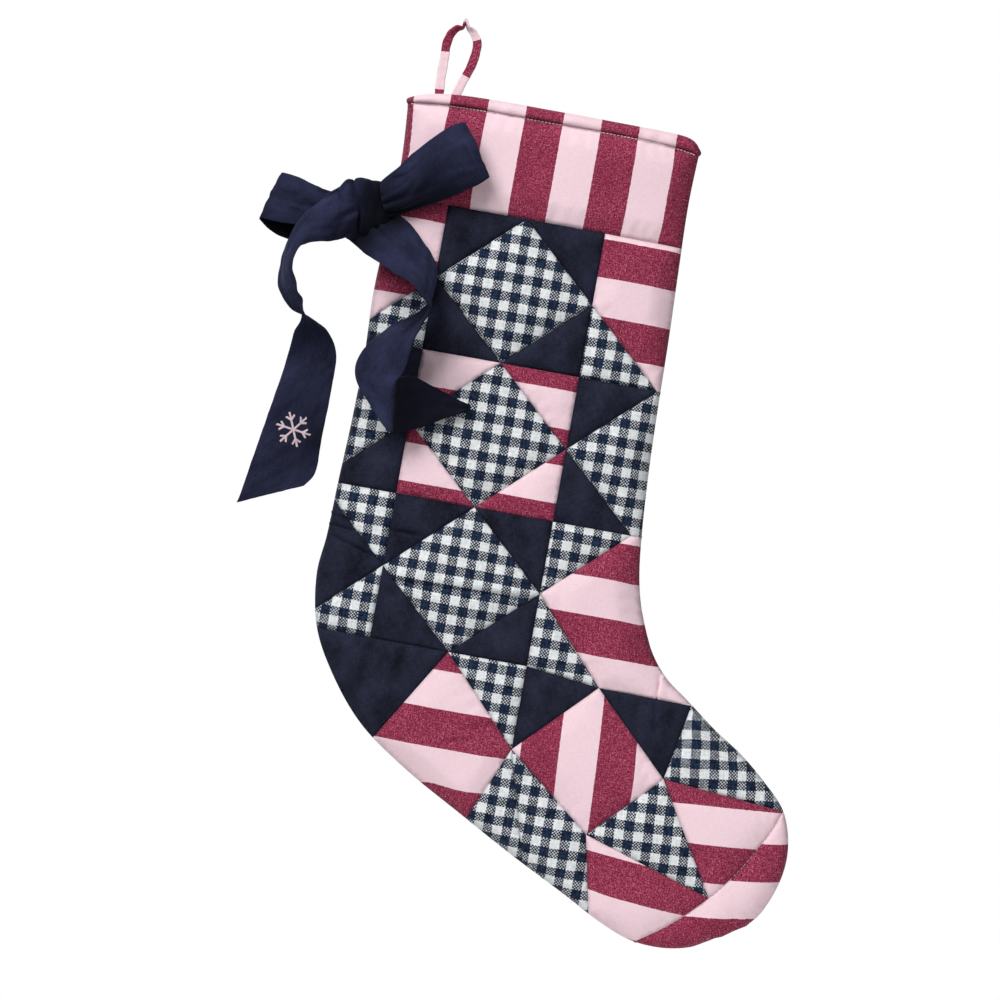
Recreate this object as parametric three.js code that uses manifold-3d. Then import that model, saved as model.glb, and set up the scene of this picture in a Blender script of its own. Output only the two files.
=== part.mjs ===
// A quilted patchwork Christmas stocking with a striped cuff, a folded-strap hanging loop and a ribbon
// bow tacked to its heel-side seam. Millimetres, +Z up, the quilted front faces -Y, and the origin is
// the point inside the top of the loop where the hook bears.
import * as THREE from 'three';
import { mergeVertices } from 'three/addons/utils/BufferGeometryUtils.js';
import Module from 'manifold-3d';

const wasm = await Module();
wasm.setup();

// ---- The stocking's own upright frame: s runs right along the cuff, t runs up, both from the
// heel-side end of the top edge. The stocking hangs leaning, because the loop is at one end of the cuff.
const HANG_TILT = THREE.MathUtils.degToRad(10.3);
const CUFF_CORNER = new THREE.Vector3(-34, 0, -43.5);
const CUFF_SEAM_T = -63;

// Each pair is one line across the stocking: a point on the heel-side seam, then one on the toe side.
const SECTIONS = [
  [[0.5, 0], [187, 0]],
  [[3, -40], [186, -34]],
  [[2, -82], [187.5, -82]],
  [[0.5, -125], [189, -122]],
  [[2, -165], [190, -165]],
  [[1.5, -207], [191.5, -205]],
  [[0, -245], [194, -242]],
  [[-1, -280], [197, -268]],
  [[-3, -305], [201, -286]],
  [[3, -338], [207, -302]],
  [[17, -364], [215, -318]],
  [[41, -393], [226, -331]],
  [[75, -417], [241, -342]],
  [[112, -437.5], [261, -357]],
  [[150, -458], [281, -370]],
  [[184, -475], [299, -385]],
  [[212, -489.5], [313, -400]],
  [[232, -497], [320, -421]],
  [[252, -498.5], [319.5, -441]],
  [[270, -495], [311, -465]],
  [[281, -489], [303, -475.5]],
];
const ROWS = 27;
const COLUMN_STOPS = [0, 0.05, 0.17, 0.38, 0.62, 0.83, 0.95, 1];
const SEAM_SAMPLES = 120;
const TOP_EDGE_RISE = 8.5;

// ---- Thicknesses, measured from the middle plane outwards.
const SEAM_GAP = 0.15;
const CAVITY_HALF = 9;
const CAVITY_REACH = 80;
const LINING = 0.8;
const CLEARANCE = 0.3;
const BATTING_AT_SEAM = 1.2;
const BATTING_EXTRA = 2.4;
const BATTING_REACH = 14;
const COTTON = 1;
const EDGE_FOLD = 1.8;
const HEM_FOLD = 1;
const BELOW_MIDDLE = -5;
const ABOVE_MOUTH = 10;
const CUT_DEPTH = 60;

// ---- Patchwork: square blocks, each a diamond with four corner triangles.
const BLOCK_S = [-62.5, 37.5, 137.5, 237.5];
const BLOCK_T = [CUFF_SEAM_T, -154.5, -246.5, -338.5];

// ---- Ribbon and strap sizes.
const RIBBON_WIDTH = 38;
const RIBBON_THICK = 0.9;
const STRAP_WIDTH = 5.5;
const STRAP_THICK = 1.6;
const KNOT_CENTRE = new THREE.Vector3(-61, -17, -114);

const COLOURS = {
  gingham: [0x808a99, 0.9],
  stripe: [0xbf8299, 0.9],
  navy: [0x17182b, 0.9],
  lining: [0xefe4e2, 0.9],
  batting: [0xf2efe9, 1],
  ribbon: [0x20223c, 0.85],
  thread: [0xf6dfe6, 0.7],
};

function fabric(kind) {
  const [color, roughness] = COLOURS[kind];
  return new THREE.MeshStandardMaterial({ color, roughness, metalness: 0, side: THREE.DoubleSide });
}

// ---- Closed bodies from points, as manifolds for cutting and as geometry for the meshes.
function manifoldFrom(points, triangles) {
  return new wasm.Manifold(new wasm.Mesh({
    numProp: 3,
    vertProperties: new Float32Array(points.flat()),
    triVerts: new Uint32Array(triangles.flat()),
  }));
}

function geometryFrom(manifold) {
  const mesh = manifold.getMesh();
  const geometry = new THREE.BufferGeometry();
  geometry.setAttribute('position', new THREE.BufferAttribute(new Float32Array(mesh.vertProperties), 3));
  geometry.setIndex(new THREE.BufferAttribute(new Uint32Array(mesh.triVerts), 1));
  return geometry;
}

// A closed body between two sheets of points with the same rows and columns, whichever way they face.
function sheetBody(front, back) {
  const body = wallBetween(front, back);
  return body.volume() > 0 ? body : wallBetween(back, front);
}

function wallBetween(front, back) {
  const rows = front.length;
  const columns = front[0].length;
  const points = [...front.flat(), ...back.flat()];
  const far = rows * columns;
  const at = (row, column) => row * columns + column;
  const triangles = [];
  const quad = (a, b, c, d) => triangles.push([a, b, c], [a, c, d]);
  for (let r = 0; r < rows - 1; r += 1) {
    for (let c = 0; c < columns - 1; c += 1) {
      quad(at(r, c), at(r + 1, c), at(r + 1, c + 1), at(r, c + 1));
      quad(far + at(r, c), far + at(r, c + 1), far + at(r + 1, c + 1), far + at(r + 1, c));
    }
    quad(at(r + 1, 0), at(r, 0), far + at(r, 0), far + at(r + 1, 0));
    const [upper, lower] = [at(r, columns - 1), at(r + 1, columns - 1)];
    quad(upper, lower, far + lower, far + upper);
  }
  for (let c = 0; c < columns - 1; c += 1) {
    quad(at(0, c), at(0, c + 1), far + at(0, c + 1), far + at(0, c));
    quad(at(rows - 1, c + 1), at(rows - 1, c), far + at(rows - 1, c), far + at(rows - 1, c + 1));
  }
  return manifoldFrom(points, triangles);
}

// ---- The outline and the swell of the panels.
function seamCurve(side) {
  const points = SECTIONS.map((section) => new THREE.Vector3(section[side][0], section[side][1], 0));
  return new THREE.CatmullRomCurve3(points, false, 'centripetal');
}

const heelSide = seamCurve(0);
const toeSide = seamCurve(1);

const seamLine = [...heelSide.getPoints(SEAM_SAMPLES), ...toeSide.getPoints(SEAM_SAMPLES).reverse()];

function distanceToSeam(s, t) {
  const here = new THREE.Vector3(s, t, 0);
  const segment = new THREE.Line3();
  const nearest = new THREE.Vector3();
  let best = Infinity;
  for (let i = 0; i < seamLine.length - 1; i += 1) {
    segment.set(seamLine[i], seamLine[i + 1]).closestPointToPoint(here, true, nearest);
    best = Math.min(best, nearest.distanceTo(here));
  }
  return best;
}

function swell(distance, height, reach) {
  const left = 1 - Math.min(distance, reach) / reach;
  return height * (1 - left * left);
}

// Distance of each layer's face from the middle plane, for a point this far in from the seam.
const innerFace = (d) => SEAM_GAP + swell(d, CAVITY_HALF, CAVITY_REACH);
const liningFace = (d) => innerFace(d) + LINING;
const battingIn = (d) => liningFace(d) + CLEARANCE;
const battingOut = (d) => battingIn(d) + BATTING_AT_SEAM + swell(d, BATTING_EXTRA, BATTING_REACH);
const cottonIn = (d) => battingOut(d) + CLEARANCE;
const cottonOut = (d) => cottonIn(d) + COTTON;

// Rows of points over the whole panel, drawn in from the seam by `inset` and with the top edge
// shifted up by `topShift`.
function panelGrid(inset, topShift) {
  const grid = [];
  for (let row = 0; row < ROWS; row += 1) {
    const along = row / (ROWS - 1);
    const start = heelSide.getPoint(along);
    const end = toeSide.getPoint(along);
    const edge = inset / start.distanceTo(end);
    const line = COLUMN_STOPS.map((stop) => start.clone().lerp(end, edge + stop * (1 - 2 * edge)));
    if (row === 0) {
      line.forEach((point, i) => {
        point.y += topShift + TOP_EDGE_RISE * (1 - (2 * COLUMN_STOPS[i] - 1) ** 4);
      });
    }
    grid.push(line);
  }
  const toe = grid[ROWS - 1];
  const before = grid[ROWS - 2];
  toe.forEach((point, i) => point.add(before[i].clone().sub(point).setLength(inset)));
  return grid;
}

// One layer of the front (side -1) or back (side +1) panel, between two faces.
function layer(side, grid, inner, outer) {
  const place = (face) => grid.map((line) => line.map((point) => {
    const depth = typeof face === 'number' ? face : face(distanceToSeam(point.x, point.y));
    return [point.x, side * depth, point.y];
  }));
  return sheetBody(place(outer), place(inner));
}

// The outer cotton of one side: a sheet that folds round the side seams to the middle plane and
// over the top edge to the mouth.
function outerCotton(side) {
  const whole = layer(side, panelGrid(0, 0), SEAM_GAP, cottonOut);
  const core = layer(side, panelGrid(EDGE_FOLD, -HEM_FOLD), BELOW_MIDDLE, cottonIn);
  const mouth = layer(side, panelGrid(EDGE_FOLD + COTTON, ABOVE_MOUTH), BELOW_MIDDLE, innerFace);
  return whole.subtract(core).subtract(mouth);
}

// ---- Cutting patches out of the front.
function insetPolygon(points, amount) {
  const flat = points.map(([s, t]) => new THREE.Vector2(s, t));
  const turn = THREE.ShapeUtils.isClockWise(flat) ? 1 : -1;
  return flat.map((point, i) => {
    const before = point.clone().sub(flat[(i + flat.length - 1) % flat.length]).normalize();
    const after = flat[(i + 1) % flat.length].clone().sub(point).normalize();
    const inward = new THREE.Vector2(before.y + after.y, -before.x - after.x).normalize();
    const shrink = inward.dot(new THREE.Vector2(before.y, -before.x));
    return point.clone().addScaledVector(inward, (turn * amount) / shrink);
  });
}

function prism(polygon, gap) {
  let rim = insetPolygon(polygon, gap);
  if (THREE.ShapeUtils.isClockWise(rim)) rim = rim.reverse();
  const faces = THREE.ShapeUtils.triangulateShape(rim, []);
  const count = rim.length;
  const near = rim.map((p) => [p.x, -CUT_DEPTH, p.y]);
  const far = rim.map((p) => [p.x, CUT_DEPTH, p.y]);
  const triangles = [];
  faces.forEach(([a, b, c]) => triangles.push([a, b, c], [c + count, b + count, a + count]));
  for (let i = 0; i < count; i += 1) {
    const next = (i + 1) % count;
    triangles.push([next, i, i + count], [next, i + count, next + count]);
  }
  return manifoldFrom([...near, ...far], triangles);
}

// The diamond (middle) and the corner triangles of one block.
function blockShapes(column, row) {
  const [left, right] = [BLOCK_S[column], BLOCK_S[column + 1]];
  const [top, bottom] = [BLOCK_T[row], BLOCK_T[row + 1]];
  const [s, t] = [(left + right) / 2, (top + bottom) / 2];
  return {
    middle: [[s, top], [right, t], [s, bottom], [left, t]],
    upper_left: [[left, top], [s, top], [left, t]],
    upper_right: [[s, top], [right, top], [right, t]],
    lower_right: [[right, t], [right, bottom], [s, bottom]],
    lower_left: [[left, t], [s, bottom], [left, bottom]],
    middle_to_toe_side: [[s, top], [right, top], [right, bottom], [s, bottom], [left, t]],
    all_but_lower_right: [[left, top], [right, top], [right, t], [s, bottom], [left, bottom]],
    all_but_lower_left: [[left, top], [right, top], [right, bottom], [s, bottom], [left, t]],
  };
}

function corners(kind) {
  return { upper_left: kind, upper_right: kind, lower_right: kind, lower_left: kind };
}

// Which shapes each block of the leg shows, and in which cotton. Blocks a, b and c run from the heel
// side to the toe side; 1 is the row under the cuff.
const LEG_BLOCKS = [
  ['a1', 0, 0, { all_but_lower_right: 'stripe', lower_right: 'gingham' }],
  ['b1', 1, 0, { middle: 'gingham', ...corners('navy') }],
  ['c1', 2, 0, { all_but_lower_left: 'stripe', lower_left: 'gingham' }],
  ['a2', 0, 1, { middle: 'gingham', upper_right: 'navy', lower_right: 'navy' }],
  ['b2', 1, 1, { middle: 'gingham', ...corners('stripe') }],
  ['c2', 2, 1, { middle_to_toe_side: 'gingham', upper_left: 'navy', lower_left: 'navy' }],
  ['a3', 0, 2, { middle: 'navy', upper_right: 'gingham', lower_right: 'gingham' }],
  ['b3', 1, 2, { middle: 'gingham', ...corners('navy') }],
];

// Seam crossings in the foot, where the blocks bend round the ankle. "out" points lie past the outline.
const FOOT = {
  left_out: [-20, -338.5],
  heel_out: [-20, -440],
  heel_top: [87.5, -338.5],
  sole_1_out: [38, -421],
  sole_2: [117, -440],
  sole_2_out: [110, -456],
  sole_3_out: [162, -478],
  sole_4: [203, -482],
  sole_4_out: [206, -500],
  arch: [137.5, -391.5],
  ankle_left: [137.5, -338.5],
  ankle_mid: [184.5, -344],
  ankle_right: [244, -345],
  ankle_out: [262, -345.4],
  instep: [234.5, -393],
  middle: [193, -436],
  instep_out: [262, -330],
  vamp_out: [340, -370],
  cap_top_out: [345, -395],
  cap_top: [313, -400],
  cap_bottom: [237, -496],
  cap_bottom_out: [230, -506],
  toe_out: [345, -520],
};

// The seam of the toe cap is a shallow curve from the top of the toe to the sole.
const CAP_BULGE = [288, -462];
const CAP_MEETS_GINGHAM = 0.57;

function toeCapSeam(from, to) {
  const ends = [FOOT.cap_top, CAP_BULGE, FOOT.cap_bottom].map(([s, t]) => new THREE.Vector2(s, t));
  const curve = new THREE.QuadraticBezierCurve(...ends);
  const steps = 4;
  const at = (i) => curve.getPoint(from + ((to - from) * i) / steps);
  return Array.from({ length: steps + 1 }, (_, i) => at(i).toArray());
}

function footPatches() {
  const F = FOOT;
  const upperCap = toeCapSeam(0, CAP_MEETS_GINGHAM);
  const lowerCap = toeCapSeam(CAP_MEETS_GINGHAM, 1);
  const corner = lowerCap[0];
  const c3 = [[187.5, BLOCK_T[2]], [BLOCK_S[3] + 30, BLOCK_T[2]], F.ankle_out, F.ankle_right, F.ankle_mid,
    [BLOCK_S[2], -292.5]];
  return [
    ['c3_upper_left', 'gingham', [[BLOCK_S[2], BLOCK_T[2]], [187.5, BLOCK_T[2]], [BLOCK_S[2], -292.5]]],
    ['c3_middle', 'stripe', c3],
    ['c3_lower_left', 'gingham', [[BLOCK_S[2], -292.5], F.ankle_mid, F.ankle_left]],
    ['heel', 'navy', [F.left_out, F.heel_top, F.sole_1_out, F.heel_out]],
    ['b4_middle', 'stripe', [F.heel_top, F.arch, F.sole_2, F.sole_2_out, F.sole_1_out]],
    ['b4_upper_right', 'gingham', [F.heel_top, F.ankle_left, F.arch]],
    ['b4_lower_right', 'gingham', [F.arch, F.sole_3_out, F.sole_2_out, F.sole_2]],
    ['c4_upper_left', 'navy', [F.ankle_left, F.ankle_mid, F.arch]],
    ['c4_upper_right', 'navy', [F.ankle_mid, F.ankle_right, F.instep]],
    ['c4_middle', 'stripe', [F.ankle_mid, F.instep, F.middle, F.arch]],
    ['c4_lower_left', 'gingham', [F.arch, F.middle, F.sole_4, F.sole_4_out, F.sole_3_out]],
    ['c4_lower_right', 'gingham', [F.middle, F.instep, corner]],
    ['vamp', 'gingham', [F.ankle_right, F.ankle_out, F.instep_out, F.vamp_out, F.cap_top_out, F.cap_top,
      F.instep]],
    ['toe_upper', 'stripe', [F.instep, ...upperCap]],
    ['toe_lower', 'stripe', [F.middle, ...lowerCap, F.cap_bottom_out, F.sole_4_out, F.sole_4]],
    ['toe_cap', 'stripe', [...upperCap, ...lowerCap.slice(1), F.cap_bottom_out, F.toe_out, F.cap_top_out]],
  ];
}

function addMesh(group, name, kind, manifold) {
  const mesh = new THREE.Mesh(geometryFrom(manifold), fabric(kind));
  mesh.name = name;
  group.add(mesh);
  return mesh;
}

function addPatches(group, cotton) {
  const shapes = [];
  LEG_BLOCKS.forEach(([block, column, row, shown]) => {
    const outlines = blockShapes(column, row);
    Object.entries(shown).forEach(([shape, kind]) => {
      shapes.push([`${block}_${shape}`, kind, outlines[shape]]);
    });
  });
  [...shapes, ...footPatches()].forEach(([name, kind, polygon]) => {
    addMesh(group, `patch_${name}`, kind, cotton.intersect(prism(polygon, CLEARANCE / 2)));
  });
}

// ---- The cuff, the plain back, and the layers inside. Both cutters reach well past the outline.
const CUFF_BAND = [[-30, CUFF_SEAM_T], [230, CUFF_SEAM_T], [230, 40], [-30, 40]];
const BELOW_CUFF = [[-30, CUFF_SEAM_T], [-30, -540], [360, -540], [360, CUFF_SEAM_T]];
const TOPSTITCH_DROP = 6.5;
const TOPSTITCH_THICK = 0.6;

function addPanels(group) {
  const front = outerCotton(-1);
  const back = outerCotton(1);
  addPatches(group, front);
  addMesh(group, 'cuff_front', 'stripe', front.intersect(prism(CUFF_BAND, CLEARANCE / 2)));
  addMesh(group, 'cuff_back', 'stripe', back.intersect(prism(CUFF_BAND, CLEARANCE / 2)));
  addMesh(group, 'back_panel', 'navy', back.intersect(prism(BELOW_CUFF, CLEARANCE / 2)));
  [['front', -1], ['back', 1]].forEach(([name, side]) => {
    const inside = panelGrid(EDGE_FOLD + CLEARANCE, -HEM_FOLD - CLEARANCE);
    addMesh(group, `${name}_batting`, 'batting', layer(side, inside, battingIn, battingOut));
    addMesh(group, `${name}_lining`, 'lining', layer(side, inside, innerFace, liningFace));
  });
}

// The row of topstitching that holds the hem, lying just off the front of the cuff.
function addTopstitch(group) {
  const off = (d) => cottonOut(d) + CLEARANCE;
  const high = panelGrid(EDGE_FOLD, -TOPSTITCH_DROP)[0];
  const low = panelGrid(EDGE_FOLD, -TOPSTITCH_DROP - TOPSTITCH_THICK)[0];
  const thread = layer(-1, [high, low], off, (d) => off(d) + TOPSTITCH_THICK);
  addMesh(group, 'cuff_topstitch', 'thread', thread);
}

// ---- Ribbons: each station gives the two edges of the ribbon as seen from the front (x, z from the
// knot), the depth of its middle, and how it leans: +1 puts the first edge behind the second. Where a
// ribbon is cut to a point, the station ends with its width there.
const NUDGE = 0.002;

function ribbonBody(stations, steps, across) {
  const firsts = [];
  const seconds = [];
  stations.forEach(([ax, az, bx, bz, depth, lean, width = RIBBON_WIDTH]) => {
    const seen = Math.hypot(bx - ax, bz - az);
    const half = (lean * Math.sqrt(Math.max(0, width * width - seen * seen))) / 2;
    firsts.push(new THREE.Vector3(ax, depth + half, az));
    seconds.push(new THREE.Vector3(bx, depth - half, bz));
  });
  const first = new THREE.CatmullRomCurve3(firsts, false, 'centripetal');
  const second = new THREE.CatmullRomCurve3(seconds, false, 'centripetal');
  const point = (u, v) => first.getPoint(u).lerp(second.getPoint(u), v);
  const front = [];
  const back = [];
  for (let i = 0; i <= steps; i += 1) {
    const u = i / steps;
    const faces = [[], []];
    for (let j = 0; j <= across; j += 1) {
      const v = j / across;
      const along = point(Math.min(1, u + NUDGE), v).sub(point(Math.max(0, u - NUDGE), v));
      const over = second.getPoint(u).sub(first.getPoint(u));
      const normal = over.cross(along).setLength(RIBBON_THICK / 2);
      const middle = point(u, v);
      faces[0].push(middle.clone().add(normal).toArray());
      faces[1].push(middle.clone().sub(normal).toArray());
    }
    front.push(faces[0]);
    back.push(faces[1]);
  }
  return sheetBody(front, back);
}

const TAIL_LEFT = [
  [-14, 5, -14, -17, -6, 0],
  [-26, 2, -28, -20, -17, 0.4],
  [-36, -5, -35, -24, -23, 0.7],
  [-43, -15, -39, -31, -25, 0.9],
  [-50, -33, -41, -40, -23, 1],
  [-52, -48, -39, -50, -17, 1],
  [-46, -61, -38, -60, -10, 1],
  [-36, -68, -38, -69, -5, 1],
  [-24, -76, -44, -80, -3, 0.7],
  [-16, -90, -48, -98, -3, 0.3],
  [-18, -114, -54, -124, -4, 0],
  [-24, -145, -61, -157, -4, 0],
  [-29, -164, -78, -184, -4, 0],
];
const TAIL_RIGHT = [
  [14, -4, -8, -19, -3, 0],
  [28, -12, 3, -27, -10, 0.4],
  [39, -24, 18, -38, -16, 0.7],
  [45, -36, 31, -48, -20, 0.8],
  [45, -47, 36, -56, -22, 0.9],
  [40, -61, 42, -65, -22, 0.9],
  [24, -71, 36, -76, -21, 0.9],
  [11, -79, 30, -89, -18, 0.8],
  [-1, -90, 25, -103, -14, 0.6],
  [-6, -104, 21, -110, -12, 0.6],
  [2, -121, 19, -111, -12, 0.6],
  [17, -138, 19, -110, -13, 0.6],
  [36, -136, 28, -106, -12, 0.5],
  [51, -132, 42, -112, -11, 0.3, 22],
  [67, -127, 66, -124, -10, 0, 3],
];
const LOOP_RIGHT = [
  [14, 14, 15, 1, -3, 0],
  [26, 27, 32, 3, -12, 0.4],
  [42, 40, 53, 7, -19, 0.3],
  [56, 50, 69, 13, -20, 0],
  [63, 52, 78, 18, -14, 0],
  [56, 49, 69, 14, -6, 0],
  [42, 39, 52, 9, -3, 0.2],
  [26, 25, 31, 5, -1, 0.2],
  [14, 12, 15, 3, 1, 0],
];
const LOOP_LEFT = [
  [-14, 9, -14, -5, -1, 0],
  [-26, 12, -31, -11, 0, 0.4],
  [-41, 19, -51, -10, 0, 0.5],
  [-52, 22, -65, -6, 6, 0.7],
  [-42, 18, -54, -13, 12, 0.6],
  [-27, 11, -36, -16, 10, 0.4],
  [-14, 6, -14, -6, 5, 0],
];

const KNOT_RADII = new THREE.Vector3(17, 11, 19);
const KNOT_SQUARENESS = 0.8;
const KNOT_COLUMNS = 16;
const KNOT_ROWS = 9;

// A ball with slightly flattened sides, `grow` larger all round.
function knotBody(grow) {
  const squarer = (value) => Math.sign(value) * Math.abs(value) ** KNOT_SQUARENESS;
  const onBall = (polar, turn) => {
    const p = new THREE.Vector3().setFromSphericalCoords(1, polar, turn);
    return ['x', 'y', 'z'].map((axis) => squarer(p[axis]) * (KNOT_RADII[axis] + grow));
  };
  const rings = [];
  for (let row = 1; row <= KNOT_ROWS; row += 1) {
    for (let column = 0; column < KNOT_COLUMNS; column += 1) {
      rings.push(onBall((Math.PI * row) / (KNOT_ROWS + 1), (2 * Math.PI * column) / KNOT_COLUMNS));
    }
  }
  const points = [onBall(0, 0), ...rings, onBall(Math.PI, 0)];
  const at = (row, column) => 1 + row * KNOT_COLUMNS + (column % KNOT_COLUMNS);
  const triangles = [];
  for (let c = 0; c < KNOT_COLUMNS; c += 1) {
    triangles.push([0, at(0, c), at(0, c + 1)]);
    for (let r = 0; r < KNOT_ROWS - 1; r += 1) {
      triangles.push([at(r, c), at(r + 1, c), at(r + 1, c + 1)], [at(r, c), at(r + 1, c + 1), at(r, c + 1)]);
    }
    triangles.push([points.length - 1, at(KNOT_ROWS - 1, c + 1), at(KNOT_ROWS - 1, c)]);
  }
  return manifoldFrom(points, triangles);
}

// A snowflake of six feathered arms, worked in thread on the flat of the left tail.
const FLAKE = {
  radius: 11,
  thread: 1.4,
  thick: 0.8,
  featherAt: 0.55,
  featherLength: 0.36,
  place: [-42, -5.15, -140],
  turn: THREE.MathUtils.degToRad(18),
};

// A stitch bar lying along x from `from`, turned by `feather` there and then about the centre by `turn`.
function stitchBar(from, length, feather, turn) {
  const box = new THREE.BoxGeometry(length, FLAKE.thick, FLAKE.thread);
  box.translate(length / 2, 0, 0).rotateY(feather).translate(from, 0, 0).rotateY(turn);
  const whole = mergeVertices(box.deleteAttribute('normal').deleteAttribute('uv'));
  const place = whole.getAttribute('position');
  const points = Array.from({ length: place.count }, (_, i) => [place.getX(i), place.getY(i), place.getZ(i)]);
  return manifoldFrom(points, Array.from(whole.index.array));
}

function snowflakeBody() {
  const { radius, featherAt, featherLength } = FLAKE;
  const bars = [];
  for (let arm = 0; arm < 6; arm += 1) {
    const turn = (arm * Math.PI) / 3;
    bars.push(stitchBar(0, radius, 0, turn));
    [-1, 1].forEach((side) => {
      bars.push(stitchBar(radius * featherAt, radius * featherLength, (side * Math.PI) / 4, turn));
    });
  }
  return bars.reduce((flake, bar) => flake.add(bar));
}

// Each ribbon of the bow: its stations and how many steps it is made in.
const BOW_RIBBONS = {
  bow_loop_right: [LOOP_RIGHT, 20],
  bow_loop_left: [LOOP_LEFT, 18],
  bow_tail_left: [TAIL_LEFT, 26],
  bow_tail_right: [TAIL_RIGHT, 28],
};
const RIBBON_ACROSS = 2;

function addBow(parent) {
  const bow = new THREE.Group();
  bow.position.copy(KNOT_CENTRE);
  const around = knotBody(CLEARANCE);
  addMesh(bow, 'bow_knot', 'ribbon', knotBody(0));
  Object.entries(BOW_RIBBONS).forEach(([name, [stations, steps]]) => {
    addMesh(bow, name, 'ribbon', ribbonBody(stations, steps, RIBBON_ACROSS).subtract(around));
  });
  const flake = addMesh(bow, 'embroidered_snowflake', 'thread', snowflakeBody());
  flake.position.set(...FLAKE.place);
  flake.rotation.y = FLAKE.turn;
  parent.add(bow);
}

// ---- The hanging loop: a flat folded strap that turns edge-on where it passes over the hook.
// Each station: x, y, z of its middle, and how far it has turned from facing the front (0) to edge-on (1).
const STRAP = [
  [-14.6, 2.1, -43, 0],
  [-13.2, 2.1, -31, 0],
  [-10.4, 1.9, -17, 0.1],
  [-9.4, 1.4, -10, 0.4],
  [-6.4, 0.6, -3, 0.8],
  [-2.6, 0, 0.4, 1],
  [1.6, 0, 1.2, 1],
  [6.2, 0.4, -1.8, 0.8],
  [9.4, 1, -8, 0.4],
  [9.2, 1.6, -15, 0.1],
  [5.6, 2, -24, 0],
  [1.2, 2.1, -32, 0],
  [-5.4, 2.1, -44.5, 0],
];

const STRAP_STEPS = 30;

function addHangingLoop(parent) {
  const middles = STRAP.map(([x, y, z]) => new THREE.Vector3(x, y, z));
  const path = new THREE.CatmullRomCurve3(middles, false, 'centripetal');
  const turns = new THREE.CatmullRomCurve3(STRAP.map((station, i) => new THREE.Vector3(i, station[3], 0)));
  const front = [];
  const back = [];
  for (let i = 0; i <= STRAP_STEPS; i += 1) {
    const u = i / STRAP_STEPS;
    const along = path.getTangent(u);
    const angle = (turns.getPoint(u).y * Math.PI) / 2;
    const inPlane = new THREE.Vector3(along.z, 0, -along.x).normalize();
    const width = inPlane.multiplyScalar(Math.cos(angle)).add(new THREE.Vector3(0, Math.sin(angle), 0));
    width.addScaledVector(along, -width.dot(along)).setLength(STRAP_WIDTH / 2);
    const normal = width.clone().cross(along).setLength(STRAP_THICK / 2);
    const edge = (side, face) => path.getPoint(u).addScaledVector(width, side)
      .addScaledVector(normal, face).toArray();
    front.push([edge(-1, 1), edge(1, 1)]);
    back.push([edge(-1, -1), edge(1, -1)]);
  }
  addMesh(parent, 'hanging_loop', 'stripe', sheetBody(front, back));
}

const stocking = new THREE.Group();
const body = new THREE.Group();
body.position.copy(CUFF_CORNER);
body.rotation.y = HANG_TILT;
addPanels(body);
addTopstitch(body);
stocking.add(body);
addBow(stocking);
addHangingLoop(stocking);

export default stocking;
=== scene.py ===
"""A quilted patchwork Christmas stocking with a navy ribbon bow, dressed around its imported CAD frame.

Shapes are worked out in millimetres and become metres when a mesh is made. The stocking is built
upright as (s, y, t): s runs right along the cuff, t runs up, both from the heel-side end of the top
edge, and y is depth, negative in front. It is then tilted the way it hangs. The bow is built as
(x, y, z) from the middle of its knot.
"""

import math

import bpy
import numpy as np
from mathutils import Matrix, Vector, kdtree, noise
from mathutils.geometry import delaunay_2d_cdt


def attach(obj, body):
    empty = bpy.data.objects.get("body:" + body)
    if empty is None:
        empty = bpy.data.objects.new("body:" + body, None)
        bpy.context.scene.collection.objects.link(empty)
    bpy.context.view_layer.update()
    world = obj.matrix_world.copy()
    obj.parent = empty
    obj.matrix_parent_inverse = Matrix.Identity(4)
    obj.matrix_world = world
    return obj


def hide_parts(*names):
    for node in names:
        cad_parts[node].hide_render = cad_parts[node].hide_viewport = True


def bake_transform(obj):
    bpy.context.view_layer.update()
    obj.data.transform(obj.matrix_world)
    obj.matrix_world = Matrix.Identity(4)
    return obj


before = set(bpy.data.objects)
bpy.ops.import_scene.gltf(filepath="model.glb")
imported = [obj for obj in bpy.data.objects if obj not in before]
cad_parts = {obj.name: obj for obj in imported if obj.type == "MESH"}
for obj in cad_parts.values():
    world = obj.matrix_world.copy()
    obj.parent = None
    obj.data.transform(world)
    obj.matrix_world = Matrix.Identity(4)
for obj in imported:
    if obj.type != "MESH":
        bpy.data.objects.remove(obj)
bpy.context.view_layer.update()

# ---- Driving sizes, in millimetres.
MM = 0.001
TILT = math.radians(10.3)
CUFF_CORNER = np.array([-34.0, 0.0, -43.5])
CUFF_SEAM_T = -63.0
TOP_EDGE_RISE = 7.2
HEM_AT_ENDS = 3.6
STITCH_RISE = 3.3
STRIPE = 24.0
CHECK = 6.0
INNER_SWELL = 9.0
INNER_DEPTH_AT_SEAM = 0.15
OUTER_SWELL = 8.8
SWELL_REACH = 80.0
RIM_DEPTH = 5.9
RIM_WIDTH = 7.0
CLOTH = 0.5
LINING_THICK = 0.4
CELL = 2.4
SEAM_GAP = 0.04

# The net's triangles are CELL wide, and each patch is drawn in by SEAM_GAP at its seams.

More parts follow.
